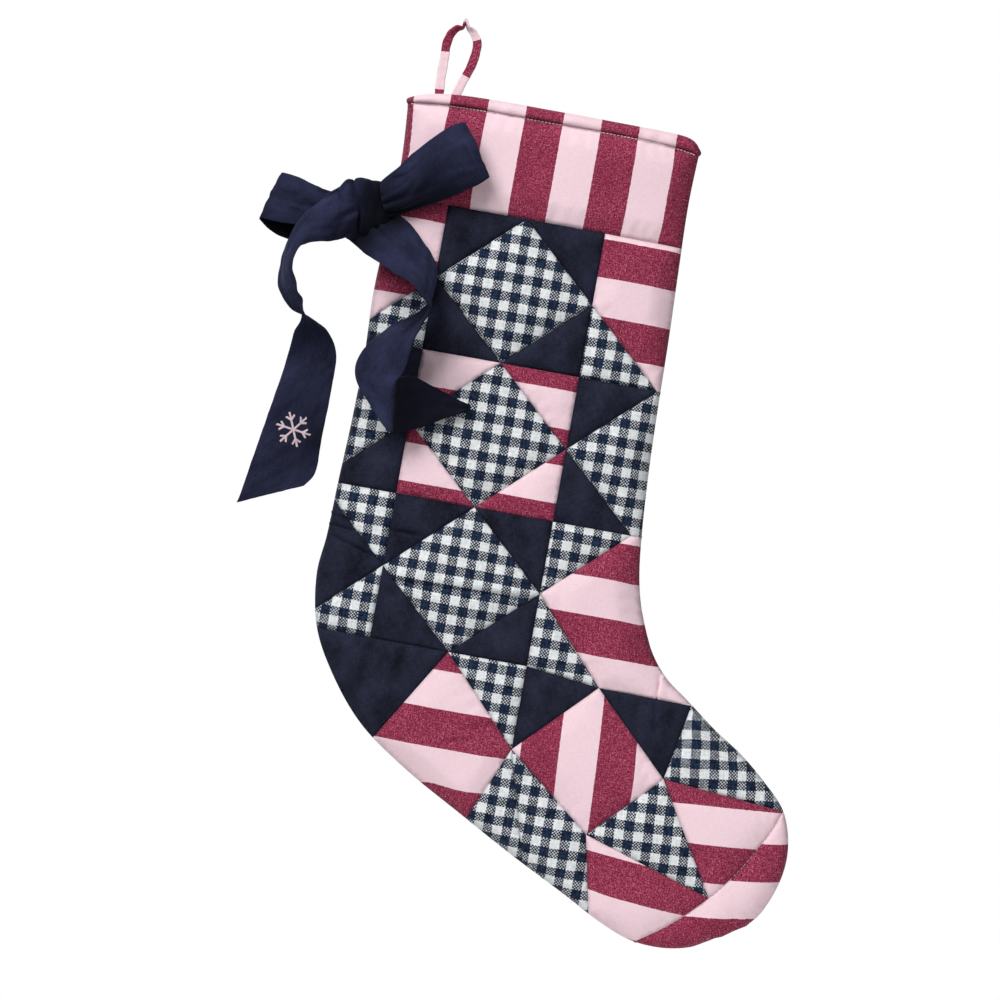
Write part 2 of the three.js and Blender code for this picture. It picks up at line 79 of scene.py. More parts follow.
# Lines across the stocking: a point on the heel-side seam, then one on the toe side.
SECTIONS = [
    ((0.5, 0), (187, 0)),
    ((3, -40), (186, -34)),
    ((2, -82), (187.5, -82)),
    ((0.5, -125), (189, -122)),
    ((2, -165), (190, -165)),
    ((1.5, -207), (191.5, -205)),
    ((0, -245), (194, -242)),
    ((-1, -280), (197, -268)),
    ((-3, -305), (201, -286)),
    ((3, -338), (207, -302)),
    ((17, -364), (215, -318)),
    ((41, -393), (226, -331)),
    ((75, -417), (241, -342)),
    ((112, -437.5), (261, -357)),
    ((150, -458), (281, -370)),
    ((184, -475), (299, -385)),
    ((212, -489.5), (313, -400)),
    ((232, -497), (320, -421)),
    ((252, -498.5), (319.5, -441)),
    ((270, -495), (311, -465)),
    ((281, -489), (303, -475.5)),
]
BLOCK_S = [-62.5, 37.5, 137.5, 237.5]
BLOCK_T = [CUFF_SEAM_T, -154.5, -246.5, -338.5]


# ---- Curves and distances.
def along_curve(points, shares):
    """Points of a centripetal Catmull-Rom curve at these shares (0 to 1) of its list of points."""
    p = np.asarray(points, float)
    last = len(p) - 1
    place = np.clip(np.asarray(shares, float) * last, 0, last - 1e-9)
    i = place.astype(int)
    w = (place - i)[:, None]
    padded = np.vstack([2 * p[0] - p[1], p, 2 * p[-1] - p[-2]])
    p0, p1, p2, p3 = (padded[i + k] for k in range(4))
    d0, d1, d2 = (np.sqrt(np.maximum(np.linalg.norm(b - a, axis=1), 1e-6))[:, None]
                  for a, b in ((p0, p1), (p1, p2), (p2, p3)))
    t1 = d1 * ((p1 - p0) / d0 - (p2 - p0) / (d0 + d1) + (p2 - p1) / d1)
    t2 = d1 * ((p2 - p1) / d1 - (p3 - p1) / (d1 + d2) + (p3 - p2) / d2)
    return p1 + w * t1 + w**2 * (3 * (p2 - p1) - 2 * t1 - t2) + w**3 * (2 * (p1 - p2) + t1 + t2)


def spaced(line, step):
    """An open polyline with its points moved to even steps along it."""
    line = np.asarray(line, float)
    run = length_along(line)
    at = np.linspace(0, run[-1], max(1, round(run[-1] / step)) + 1)
    return np.column_stack([np.interp(at, run, line[:, k]) for k in range(line.shape[1])])


def unit(vectors):
    """Vectors along the last axis, made one long."""
    return vectors / np.maximum(np.linalg.norm(vectors, axis=-1, keepdims=True), 1e-9)


def square_to(vectors, directions):
    """Unit vectors made square to some unit directions."""
    return unit(vectors - (vectors * directions).sum(1, keepdims=True) * directions)


def length_along(line):
    """The length from the start of a polyline to each of its points."""
    return np.concatenate([[0], np.cumsum(np.linalg.norm(np.diff(line, axis=0), axis=1))])


def turned(points, angle):
    """Points (rows of two) turned clockwise about the origin."""
    return points @ np.array([[math.cos(angle), -math.sin(angle)], [math.sin(angle), math.cos(angle)]])


def tree_of(places):
    """A search tree over places in a plane."""
    tree = kdtree.KDTree(len(places))
    for i, (across, up) in enumerate(places):
        tree.insert((across, up, 0), i)
    tree.balance()
    return tree


def level(points):
    """Points of a plane with a zero third coordinate."""
    return np.column_stack([points, np.zeros(len(points))])


def beside(points, start, end):
    """Each point's nearest place on a segment, as a share (0 to 1) of it, and its distance from there."""
    a, b = np.asarray(start, float), np.asarray(end, float)
    share = np.clip((points - a) @ (b - a) / max((b - a) @ (b - a), 1e-12), 0, 1)
    return share, np.linalg.norm(points - a - share[:, None] * (b - a), axis=1)


def distance_to(lines, points):
    """How far each point is from the nearest of some polylines."""
    best = np.full(len(points), np.inf)
    for line in lines:
        for start, end in zip(line[:-1], line[1:]):
            best = np.minimum(best, beside(points, start, end)[1])
    return best


def inside(polygon, points):
    """Which points lie inside a polygon."""
    odd = np.zeros(len(points), bool)
    s, t = points[:, 0], points[:, 1]
    for (s0, t0), (s1, t1) in zip(polygon, np.roll(polygon, -1, axis=0)):
        if t0 != t1:
            odd ^= ((t0 > t) != (t1 > t)) & (s < (s1 - s0) * (t - t0) / (t1 - t0) + s0)
    return odd


SIDES = [np.array([section[side] for section in SECTIONS], float) for side in (0, 1)]
HEEL_LINE, TOE_LINE = (spaced(along_curve(side, np.linspace(0, 1, 600)), CELL) for side in SIDES)
SEAM_LINE = np.vstack([HEEL_LINE, TOE_LINE[::-1]])


def across_share(s):
    """-1 at the heel-side end of the top edge, 1 at the toe side."""
    start, end = SECTIONS[0][0][0], SECTIONS[0][1][0]
    return np.clip(2 * (np.asarray(s, float) - start) / (end - start) - 1, -1, 1)


def top_edge(s):
    """Height of the top edge of the cuff over its straight line: a slow rise, then a sharp corner."""
    share = across_share(s)
    return TOP_EDGE_RISE * (1 - np.abs(share) ** np.where(share < 0, 6, 22))


def stitch_line(s):
    """Height of the row of topstitching below the rolled hem."""
    return -HEM_AT_ENDS + STITCH_RISE * (1 - across_share(s) ** 6)


def swell(distance, height):
    """How far a side stands out from the middle plane at a distance from the side seams."""
    return height * (1 - (1 - np.minimum(distance, SWELL_REACH) / SWELL_REACH) ** 2)


def inner_depth(distance):
    """Depth of the room inside at a distance from the side seams."""
    return INNER_DEPTH_AT_SEAM + swell(distance, INNER_SWELL)


def outer_depth(distance):
    """Depth of the outer cloth: the body's swell, with edges that roll over in a quarter round."""
    roll = np.sqrt(1 - (1 - np.minimum(distance, RIM_WIDTH) / RIM_WIDTH) ** 2)
    return swell(distance, OUTER_SWELL) + RIM_DEPTH * roll


def hang(points):
    """Upright (s, y, t) millimetres to the row frame's metres."""
    s, y, t = np.asarray(points, float).T
    x = s * math.cos(TILT) + t * math.sin(TILT)
    z = t * math.cos(TILT) - s * math.sin(TILT)
    return (np.column_stack([x, y, z]) + CUFF_CORNER) * MM


def ripples(points, wavelength, seed):
    """Smooth random values from about -1 to 1 over some points."""
    shift = Vector((seed * 7.31, seed * 3.17, seed * 1.93))
    return np.array([2 * noise.noise(Vector(p) / wavelength + shift) for p in points])


# ---- The patchwork: (name, cloth, outline). Outlines may pass the edge of the stocking.
def block_shapes(column, row):
    """The diamond and the corner triangles of one square block."""
    left, right = BLOCK_S[column], BLOCK_S[column + 1]
    top, bottom = BLOCK_T[row], BLOCK_T[row + 1]
    s, t = (left + right) / 2, (top + bottom) / 2
    return {
        "middle": [(s, top), (right, t), (s, bottom), (left, t)],
        "upper_left": [(left, top), (s, top), (left, t)],
        "upper_right": [(s, top), (right, top), (right, t)],
        "lower_right": [(right, t), (right, bottom), (s, bottom)],
        "lower_left": [(left, t), (s, bottom), (left, bottom)],
        "middle_to_toe_side": [(s, top), (right, top), (right, bottom), (s, bottom), (left, t)],
        "all_but_lower_right": [(left, top), (right, top), (right, t), (s, bottom), (left, bottom)],
        "all_but_lower_left": [(left, top), (right, top), (right, bottom), (s, bottom), (left, t)],
    }


def corners(cloth):
    return {name: cloth for name in ("upper_left", "upper_right", "lower_right", "lower_left")}


LEG_BLOCKS = [
    ("a1", 0, 0, {"all_but_lower_right": "stripe", "lower_right": "gingham"}),
    ("b1", 1, 0, {"middle": "gingham", **corners("navy")}),
    ("c1", 2, 0, {"all_but_lower_left": "stripe", "lower_left": "gingham"}),
    ("a2", 0, 1, {"middle": "gingham", "upper_right": "navy", "lower_right": "navy"}),
    ("b2", 1, 1, {"middle": "gingham", **corners("stripe")}),
    ("c2", 2, 1, {"middle_to_toe_side": "gingham", "upper_left": "navy", "lower_left": "navy"}),
    ("a3", 0, 2, {"middle": "navy", "upper_right": "gingham", "lower_right": "gingham"}),
    ("b3", 1, 2, {"middle": "gingham", **corners("navy")}),
]
FOOT = {
    "left_out": (-20, -338.5),
    "heel_out": (-20, -440),
    "heel_top": (87.5, -338.5),
    "sole_1_out": (38, -421),
    "sole_2": (117, -440),
    "sole_2_out": (110, -456),
    "sole_3_out": (162, -478),
    "sole_4": (203, -482),
    "sole_4_out": (206, -500),
    "arch": (137.5, -391.5),
    "ankle_left": (137.5, -338.5),
    "ankle_mid": (184.5, -344),
    "ankle_right": (244, -345),
    "ankle_out": (262, -345.4),
    "instep": (234.5, -393),
    "middle": (193, -436),
    "instep_out": (262, -330),
    "vamp_out": (340, -370),
    "cap_top_out": (345, -395),
    "cap_top": (313, -400),
    "cap_bottom": (237, -496),
    "cap_bottom_out": (230, -506),
    "toe_out": (345, -520),
    "c3_top_left": (137.5, -246.5),
    "c3_top": (187.5, -246.5),
    "c3_top_out": (267.5, -246.5),
    "c3_left": (137.5, -292.5),
}
CAP_BULGE = (288, -462)
CAP_MEETS_GINGHAM = 0.57


def toe_cap_seam(start, end):
    """The toe cap's seam, a shallow curve from the top of the toe to the sole."""
    a, b, c = (np.array(p, float) for p in (FOOT["cap_top"], CAP_BULGE, FOOT["cap_bottom"]))
    u = np.linspace(start, end, 5)[:, None]
    return ((1 - u) ** 2 * a + 2 * u * (1 - u) * b + u**2 * c).tolist()


FOOT_PATCHES = {
    "c3_upper_left": ("gingham", "c3_top_left c3_top c3_left"),
    "c3_middle": ("stripe", "c3_top c3_top_out ankle_out ankle_right ankle_mid c3_left"),
    "c3_lower_left": ("gingham", "c3_left ankle_mid ankle_left"),
    "heel": ("navy", "left_out heel_top sole_1_out heel_out"),
    "b4_middle": ("stripe", "heel_top arch sole_2 sole_2_out sole_1_out"),
    "b4_upper_right": ("gingham", "heel_top ankle_left arch"),
    "b4_lower_right": ("gingham", "arch sole_3_out sole_2_out sole_2"),
    "c4_upper_left": ("navy", "ankle_left ankle_mid arch"),
    "c4_upper_right": ("navy", "ankle_mid ankle_right instep"),
    "c4_middle": ("stripe", "ankle_mid instep middle arch"),
    "c4_lower_left": ("gingham", "arch middle sole_4 sole_4_out sole_3_out"),
    "c4_lower_right": ("gingham", "middle instep cap_corner"),
    "vamp": ("gingham", "ankle_right ankle_out instep_out vamp_out cap_top_out cap_top instep"),
    "toe_upper": ("stripe", "instep UPPER_CAP"),
    "toe_lower": ("stripe", "middle LOWER_CAP cap_bottom_out sole_4_out sole_4"),
    "toe_cap": ("stripe", "UPPER_CAP LOWER_CAP cap_bottom_out toe_out cap_top_out"),
}
CUFF_BAND = [(-30, CUFF_SEAM_T), (230, CUFF_SEAM_T), (230, 40), (-30, 40)]
BELOW_CUFF = [(-30, CUFF_SEAM_T), (-30, -540), (360, -540), (360, CUFF_SEAM_T)]


def front_patches():
    """Every patch of the front as {name: (cloth, outline)}."""
    upper_cap, lower_cap = toe_cap_seam(0, CAP_MEETS_GINGHAM), toe_cap_seam(CAP_MEETS_GINGHAM, 1)
    places = {name: [place] for name, place in FOOT.items()}
    places.update(UPPER_CAP=upper_cap, LOWER_CAP=lower_cap, cap_corner=[lower_cap[0]])
    patches = {}
    for block, column, row, shown in LEG_BLOCKS:
        outlines = block_shapes(column, row)
        for shape, cloth in shown.items():
            patches[f"{block}_{shape}"] = (cloth, outlines[shape])
    for name, (cloth, route) in FOOT_PATCHES.items():
        outline = [tuple(p) for place in route.split() for p in places[place]]
        kept = [p for i, p in enumerate(outline) if p != outline[i - 1]]
        patches[name] = (cloth, kept)
    patches["cuff"] = ("stripe", CUFF_BAND)
    return patches


# How the woven pattern lies on each patch. Stripes: the way across them, a point on the edge where a
# burgundy stripe starts, and their turn in degrees. Gingham: its turn and a point where a check starts.
STRIPES = {
    "cuff": ("right", (27, 0), 0),
    "a1_all_but_lower_right": ("down", (20, -98.8), 0),
    "c1_all_but_lower_left": ("down", (160, -66.4), 0),
    "b2_upper_left": ("down", (60, -176.5), 0),
    "b2_upper_right": ("down", (125, -188.3), 0),
    "b2_lower_right": ("down", (125, -235), 0),
    "b2_lower_left": ("down", (50, -237.7), 0),
    "c3_middle": ("down", (180, -252.3), 0),
    "b4_middle": ("down", (100, -374.6), 0.5),
    "c4_middle": ("right", (190.7, -380), 3.2),
    "toe_upper": ("down", (280, -427.6), 4),
    "toe_lower": ("down", (205, -446), -5),
    "toe_cap": ("down", (304, -422), 7),
}
GINGHAM = {
    "a1_lower_right": (0, (1.5, 1)),
    "b1_middle": (0, (2, 4)),
    "c1_lower_left": (0, (0.5, -2.5)),
    "b2_middle": (0, (0, -1)),
    "c2_middle_to_toe_side": (0, (0, -1)),
    "a3_upper_right": (0, (-3, -4.5)),
    "a3_lower_right": (0, (4, -5)),
    "b3_middle": (0, (5, -3)),
    "c3_upper_left": (0, (7.5, -5)),
    "c3_lower_left": (0, (-0.5, -1.5)),
    "b4_upper_right": (0, (5.5, 1.5)),
    "b4_lower_right": (0, (-3.5, 4)),
    "c4_lower_left": (1, (154, -442)),
    "c4_lower_right": (3, (252, -426.5)),
    "vamp": (7, (285.5, -379)),
}


def weave_place(name, cloth, points):
    """Where points of a patch lie on its cloth, in millimetres: across the stripes or checks, then along."""
    if cloth == "stripe":
        way, start, turn = STRIPES[name]
        turn += -90 if way == "down" else 0
    elif cloth == "gingham":
        turn, start = GINGHAM.get(name, (0, (0, 0)))
    else:
        turn, start = 0, (0, 0)
    offset = points - np.array(start, float)
    if name == "cuff":
        edge = np.interp(points[:, 1], HEEL_LINE[::-1, 1], HEEL_LINE[::-1, 0])
        offset[:, 0] -= (edge + 1.2) * np.clip(1 - (points[:, 0] - edge) / 20, 0, 1)
    return turned(offset, math.radians(turn))


# ---- One side of the stocking as a net of triangles with an edge along every seam.
def seam_lines(polygons):
    """Each seam once, cut wherever another patch has a corner on it."""
    found = {}
    every = np.array([p for polygon in polygons for p in polygon], float)
    for polygon in polygons:
        for a, b in zip(np.array(polygon, float), np.roll(np.array(polygon, float), -1, axis=0)):
            along = (every - a) @ (b - a) / ((b - a) @ (b - a))
            off = np.linalg.norm(every - a - along[:, None] * (b - a), axis=1)
            cuts = np.unique(np.round(along[(off < 0.2) & (along > 0.001) & (along < 0.999)], 4))
            stops = [a + cut * (b - a) for cut in (0, *cuts, 1)]
            for start, end in zip(stops[:-1], stops[1:]):
                key = frozenset((tuple(np.round(start, 1)), tuple(np.round(end, 1))))
                if len(key) == 2:
                    found[key] = np.array([start, end])
    return list(found.values())


def panel_outline():
    """The stocking's outline below the row of topstitching, from the top left, clockwise."""
    s = np.linspace(SECTIONS[0][0][0], SECTIONS[0][1][0], 200)
    top = spaced(np.column_stack([s, stitch_line(s)]), CELL)
    below = [line[line[:, 1] < -HEM_AT_ENDS - CELL / 2] for line in (HEEL_LINE, TOE_LINE)]
    return np.vstack([top, below[1], below[0][::-1]])


def cloth_net(outline, seams):
    """(points, triangles) over the inside of an outline, with edges along it and along each seam."""
    fixed = [outline]
    edges = [(i, (i + 1) % len(outline)) for i in range(len(outline))]
    count = len(outline)
    for seam in seams:
        line = spaced(seam, CELL)
        shown = inside(outline, line) | (distance_to([outline], line) < CELL)
        fixed.append(line)
        edges += [(count + i, count + i + 1) for i in range(len(line) - 1) if shown[i] and shown[i + 1]]
        count += len(line)
    fixed = np.vstack(fixed)
    low, high = outline.min(0), outline.max(0)
    rows = np.arange(low[1], high[1], CELL * math.sqrt(3) / 2)
    filling = np.array([(s + (r % 2) * CELL / 2, t) for r, t in enumerate(rows)
                        for s in np.arange(low[0], high[0], CELL)])
    filling = filling[inside(outline, filling)]
    tree = tree_of(fixed)
    clear = [tree.find((s, t, 0))[2] > 0.62 * CELL for s, t in filling]
    points = np.vstack([fixed, filling[clear]])
    verts, _, faces, *_ = delaunay_2d_cdt([Vector(p) for p in points], edges, [], 0, 0.4)
    verts = np.array([tuple(v) for v in verts])
    faces = np.array([f for f in faces if len(f) == 3])
    a, b, c = (verts[faces[:, k]] for k in range(3))
    faces = faces[inside(outline, (a + b + c) / 3)]
    a, b, c = (verts[faces[:, k]] for k in range(3))
    turned = (b[:, 0] - a[:, 0]) * (c[:, 1] - a[:, 1]) - (b[:, 1] - a[:, 1]) * (c[:, 0] - a[:, 0]) < 0
    faces[turned] = faces[turned][:, ::-1]
    used, faces = np.unique(faces, return_inverse=True)
    return verts[used], faces.reshape(-1, 3)


# ---- Sewing: a net becomes cloth that is held at its seams and puffed up by the wadding.
SIM_SCALE = 0.01
SIM_FRAMES = 20
PUFF_CAP = 3.2
DITCH = 1.2
DITCH_WIDTH = 4.0
CLOTH_SETTINGS = {
    "quality": 7,
    "mass": 0.05,
    "air_damping": 3,
    "tension_stiffness": 25,
    "compression_stiffness": 25,
    "shear_stiffness": 12,
    "bending_stiffness": 0.6,
    "vertex_group_mass": "sewn",
    "shrink_min": -0.016,
    "use_pressure": True,
    "uniform_pressure_force": 12,
}


def puffed(points, faces, held):
    """Runs cloth with a little slack, held at its seams, and returns where its points come to rest."""
    mesh = bpy.data.meshes.new("puffing")
    mesh.from_pydata((points * SIM_SCALE).tolist(), [], faces.tolist())
    cloth_object = placed_in_scene("puffing", mesh)
    group = cloth_object.vertex_groups.new(name="sewn")
    group.add(np.flatnonzero(held).tolist(), 1.0, "REPLACE")
    modifier = cloth_object.modifiers.new("cloth", "CLOTH")
    for setting, value in CLOTH_SETTINGS.items():
        setattr(modifier.settings, setting, value)
    modifier.settings.effector_weights.gravity = 0
    modifier.collision_settings.use_collision = False
    modifier.point_cache.frame_start = 1
    modifier.point_cache.frame_end = SIM_FRAMES
    for step in range(1, SIM_FRAMES + 1):
        bpy.context.scene.frame_set(step)
    settled = cloth_object.evaluated_get(bpy.context.evaluated_depsgraph_get()).to_mesh()
    rest = np.zeros(len(points) * 3, np.float32)
    settled.vertices.foreach_get("co", rest)
    bpy.data.objects.remove(cloth_object)
    bpy.context.scene.frame_set(1)
    moved = rest.reshape(-1, 3).astype(float) / SIM_SCALE - points
    size = np.linalg.norm(moved, axis=1, keepdims=True)
    return points + moved * np.minimum(1, PUFF_CAP / np.maximum(size, 1e-9))


def placed_in_scene(name, data):
    """A new object for some data, in the scene."""
    made = bpy.data.objects.new(name, data)
    bpy.context.scene.collection.objects.link(made)
    return made


# ---- Materials. Each keeps its pattern in the "weave" UV map, in millimetres of cloth.
def linear(red, green, blue):
    """A screen colour (0 to 255) as the linear colour that a shader takes."""
    def channel(value):
        value /= 255
        return value / 12.92 if value <= 0.04045 else ((value + 0.055) / 1.055) ** 2.4
    return (channel(red), channel(green), channel(blue), 1)


class Cloth:
    """A fabric material and short ways to add the nodes that its weave needs."""

    def __init__(self, name, roughness, sheen, sheen_tint):
        self.material = bpy.data.materials.new(name)
        self.material.use_nodes = True
        self.nodes = self.material.node_tree.nodes
        self.links = self.material.node_tree.links
        self.shader = self.nodes["Principled BSDF"]
        self.shader.inputs["Roughness"].default_value = roughness
        self.shader.inputs["Specular IOR Level"].default_value = 0.1
        self.shader.inputs["Sheen Weight"].default_value = sheen
        self.shader.inputs["Sheen Roughness"].default_value = 0.4
        self.shader.inputs["Sheen Tint"].default_value = sheen_tint
        weave = self.nodes.new("ShaderNodeUVMap")
        weave.uv_map = "weave"
        self.place = weave.outputs["UV"]
        split = self.nodes.new("ShaderNodeSeparateXYZ")
        self.links.new(self.place, split.inputs[0])
        self.across, self.along = split.outputs["X"], split.outputs["Y"]

    def set(self, socket, value):
        if isinstance(value, bpy.types.NodeSocket):
            self.links.new(value, socket)
        else:
            socket.default_value = value

    def math(self, operation, *values):
        node = self.nodes.new("ShaderNodeMath")
        node.operation = operation
        for socket, value in zip(node.inputs, values):
            self.set(socket, value)
        return node.outputs[0]

    def add(self, first, second):
        return self.math("ADD", first, second)

    def times(self, first, second):
        return self.math("MULTIPLY", first, second)

    def wander(self, across_mm, along_mm, size, seed=0.0):
        """Noise about zero, of this size."""
        return self.times(self.math("SUBTRACT", self.noise(across_mm, along_mm, seed=seed), 0.5), size)

    def threads(self, wide_mm, long_mm, detail=2.0):
        """Uneven threads running both ways."""
        return self.add(self.noise(wide_mm, long_mm, detail, seed=5),
                        self.noise(long_mm, wide_mm, detail, seed=6))

    def mix(self, share, first, second):
        node = self.nodes.new("ShaderNodeMix")
        node.data_type = "RGBA"
        self.set(node.inputs["Factor"], share)
        self.set(node.inputs["A"], first)
        self.set(node.inputs["B"], second)
        return node.outputs["Result"]

    def mix_value(self, share, first, second):
        node = self.nodes.new("ShaderNodeMix")
        for socket, value in zip(node.inputs, (share, None, first, second)):
            if value is not None:
                self.set(socket, value)
        return node.outputs[0]

    def noise(self, across_mm, along_mm, detail=2.0, seed=0.0):
        """Noise whose blots are this many millimetres across and along the cloth."""
        stretch = self.nodes.new("ShaderNodeMapping")
        stretch.inputs["Scale"].default_value = (1 / across_mm, 1 / along_mm, 1)
        stretch.inputs["Location"].default_value = (seed * 17.3, seed * 9.7, seed)
        self.links.new(self.place, stretch.inputs["Vector"])
        node = self.nodes.new("ShaderNodeTexNoise")
        node.inputs["Scale"].default_value = 1
        node.inputs["Detail"].default_value = detail
        self.links.new(stretch.outputs[0], node.inputs["Vector"])
        return node.outputs["Fac"]

    def range(self, value, low, high, to_low=0.0, to_high=1.0):
        node = self.nodes.new("ShaderNodeMapRange")
        for socket, number in zip(node.inputs, (value, low, high, to_low, to_high)):
            self.set(socket, number)
        return node.outputs[0]

    def stripe(self, place, width):
        """1 on every other stripe of this width, 0 between."""
        return self.math("LESS_THAN", self.math("FRACT", self.math("DIVIDE", place, 2 * width)), 0.5)

    def thread_hump(self, place, pitch):
        """The rounded tops of threads laid side by side."""
        return self.math("ABSOLUTE", self.math("SINE", self.times(place, math.pi / pitch)))

    def over_under(self, pitch):
        """1 where a thread along the cloth lies on top in a plain weave, 0 where one across it does."""
        columns = self.math("FLOOR", self.math("DIVIDE", self.across, pitch))
        rows = self.math("FLOOR", self.math("DIVIDE", self.along, pitch))
        return self.math("PINGPONG", self.add(columns, rows), 1)

    def weave_height(self, pitch, slub):
        """Height of a plain weave whose threads run thick and thin."""
        over = self.over_under(pitch)
        along = self.times(self.thread_hump(self.across, pitch), over)
        across = self.times(self.thread_hump(self.along, pitch), self.math("SUBTRACT", 1, over))
        uneven = self.add(self.noise(pitch * 1.5, 9, seed=3), self.noise(9, pitch * 1.5, seed=4))
        return self.add(self.add(along, across), self.times(uneven, slub))

    def finish(self, colour, height, depth_mm):
        self.set(self.shader.inputs["Base Color"], colour)
        bump = self.nodes.new("ShaderNodeBump")
        bump.inputs["Strength"].default_value = 1
        bump.inputs["Distance"].default_value = depth_mm * MM
        self.set(bump.inputs["Height"], height)
        self.links.new(bump.outputs[0], self.shader.inputs["Normal"])
        return self.material


PALE_TINT = (1, 1, 1, 1)


def gingham_cloth():
    """Navy and off-white checks, with single threads showing in the half-tone squares."""
    pitch = 1.0
    cloth = Cloth("gingham_cotton", 0.9, 0.05, PALE_TINT)
    shift = cloth.add(cloth.wander(14, 14, 1.3), cloth.wander(0.9, 0.9, 0.6, seed=2))
    dark_along = cloth.stripe(cloth.add(cloth.across, shift), CHECK)
    dark_across = cloth.stripe(cloth.add(cloth.along, shift), CHECK)
    on_top = cloth.mix_value(cloth.over_under(pitch), dark_across, dark_along)
    between = cloth.math("MAXIMUM", dark_along, dark_across)
    humps = cloth.times(cloth.thread_hump(cloth.across, pitch), cloth.thread_hump(cloth.along, pitch))
    uneven = cloth.threads(pitch, 5)
    slubs = cloth.times(cloth.math("SUBTRACT", uneven, 1), 1.5)
    covered = cloth.range(cloth.add(humps, slubs), 0.05, 0.6, 0.12, 0.8)
    dark = cloth.mix_value(covered, between, on_top)
    white = cloth.mix(cloth.range(uneven, 0.75, 1.3), linear(208, 213, 216), linear(244, 246, 245))
    navy = cloth.mix(cloth.range(uneven, 0.8, 1.25), linear(12, 19, 32), linear(40, 56, 84))
    colour = cloth.mix(dark, white, navy)
    return cloth.finish(colour, cloth.weave_height(pitch, 0.6), 0.1)


def striped_cloth():
    """Pink and burgundy stripes; the burgundy is a chambray whose pale weft shows as flecks."""
    pitch = 0.5
    cloth = Cloth("striped_cotton", 0.9, 0.05, PALE_TINT)
    burgundy_here = cloth.stripe(cloth.add(cloth.across, cloth.wander(0.8, 2.0, 0.7, seed=2)), STRIPE)
    threads = cloth.threads(0.8, 3.5, 3)
    flecks = cloth.add(cloth.times(threads, 0.45), cloth.times(cloth.noise(0.85, 0.85, 2, seed=7), 1.1))
    dusky = cloth.mix(cloth.range(flecks, 0.74, 1.05), linear(82, 14, 37), linear(158, 56, 84))
    burgundy = cloth.mix(cloth.range(flecks, 1.03, 1.35), dusky, linear(214, 128, 154))
    cloudy = cloth.range(cloth.noise(18, 26, seed=8), 0.35, 0.7)
    burgundy = cloth.mix(cloth.times(cloudy, 0.35), burgundy, linear(112, 26, 52))
    pink = cloth.mix(cloth.range(threads, 0.7, 1.3), linear(242, 210, 219), linear(250, 220, 228))
    colour = cloth.mix(burgundy_here, pink, burgundy)
    return cloth.finish(colour, cloth.weave_height(pitch, 0.8), 0.06)


def navy_cloth(name, dark, light, sheen, slub_mm, depth_mm, painted_shade_colour=None):
    """A plain weave of navy cotton with slightly uneven threads. Its optional last colour is painted shade,
    mixed in as far as a piece's "deep" attribute says."""
    pitch = 0.45
    cloth = Cloth(name, 0.9, sheen, linear(120, 132, 190))
    mottle = cloth.noise(16, 24, 4, seed=7)
    tone = cloth.add(cloth.times(cloth.threads(0.6, slub_mm, 3), 0.5), cloth.times(mottle, 0.9))
    colour = cloth.mix(cloth.range(tone, 0.7, 1.2), dark, light)
    if painted_shade_colour:
        # Painted shade: the "deep" attribute darkens the cloth towards the given shade colour.
        deep = cloth.nodes.new("ShaderNodeAttribute")
        deep.attribute_name = "deep"
        colour = cloth.mix(deep.outputs["Fac"], colour, painted_shade_colour)
    return cloth.finish(colour, cloth.weave_height(pitch, 1.0), depth_mm)


def pale_cloth(name, dark, light, blot_mm, depth_mm):
    """A plain pale fabric with faint unevenness."""
    cloth = Cloth(name, 0.9, 0.2, PALE_TINT)
    blots = cloth.add(cloth.noise(blot_mm, blot_mm, 4), cloth.noise(0.6, 5, seed=2))
    colour = cloth.mix(cloth.range(blots, 0.7, 1.3), dark, light)
    return cloth.finish(colour, cloth.weave_height(0.5, 1.2), depth_mm)


def thread_finish():
    """Twisted thread: fine slanting plies along each stitch."""
    cloth = Cloth("thread", 0.55, 0.3, PALE_TINT)
    plies = cloth.thread_hump(cloth.add(cloth.across, cloth.along), 0.22)
    # The colour is lighter on the ply tops and darker in the grooves between them: painted shade and
    # highlight.
    colour = cloth.mix(plies, linear(206, 176, 186), linear(248, 228, 233))
    return cloth.finish(colour, plies, 0.08)


MATERIALS = {
    "gingham": ("gingham_cotton", gingham_cloth()),
    "stripe": ("striped_cotton", striped_cloth()),
    "navy": ("navy_cotton", navy_cloth(
        "navy_cotton", linear(17, 18, 28), linear(47, 50, 70), sheen=0.02, slub_mm=4, depth_mm=0.1)),
    # The ribbon's near-black last colour is painted shade, for the knot's shadow and for ribbon turned away
    # from the light.
    "ribbon": ("ribbon_cotton", navy_cloth(
        "ribbon_cotton", linear(26, 28, 47), linear(54, 57, 88), sheen=0.1, slub_mm=6, depth_mm=0.06,
        painted_shade_colour=linear(7, 7, 12))),
    "lining": ("lining_cotton", pale_cloth(
        "lining_cotton", linear(222, 212, 208), linear(243, 236, 232), blot_mm=9, depth_mm=0.1)),
    "batting": ("batting", pale_cloth(
        "batting", linear(228, 225, 218), linear(248, 246, 242), blot_mm=2, depth_mm=0.5)),
    "thread": ("thread", thread_finish()),
}


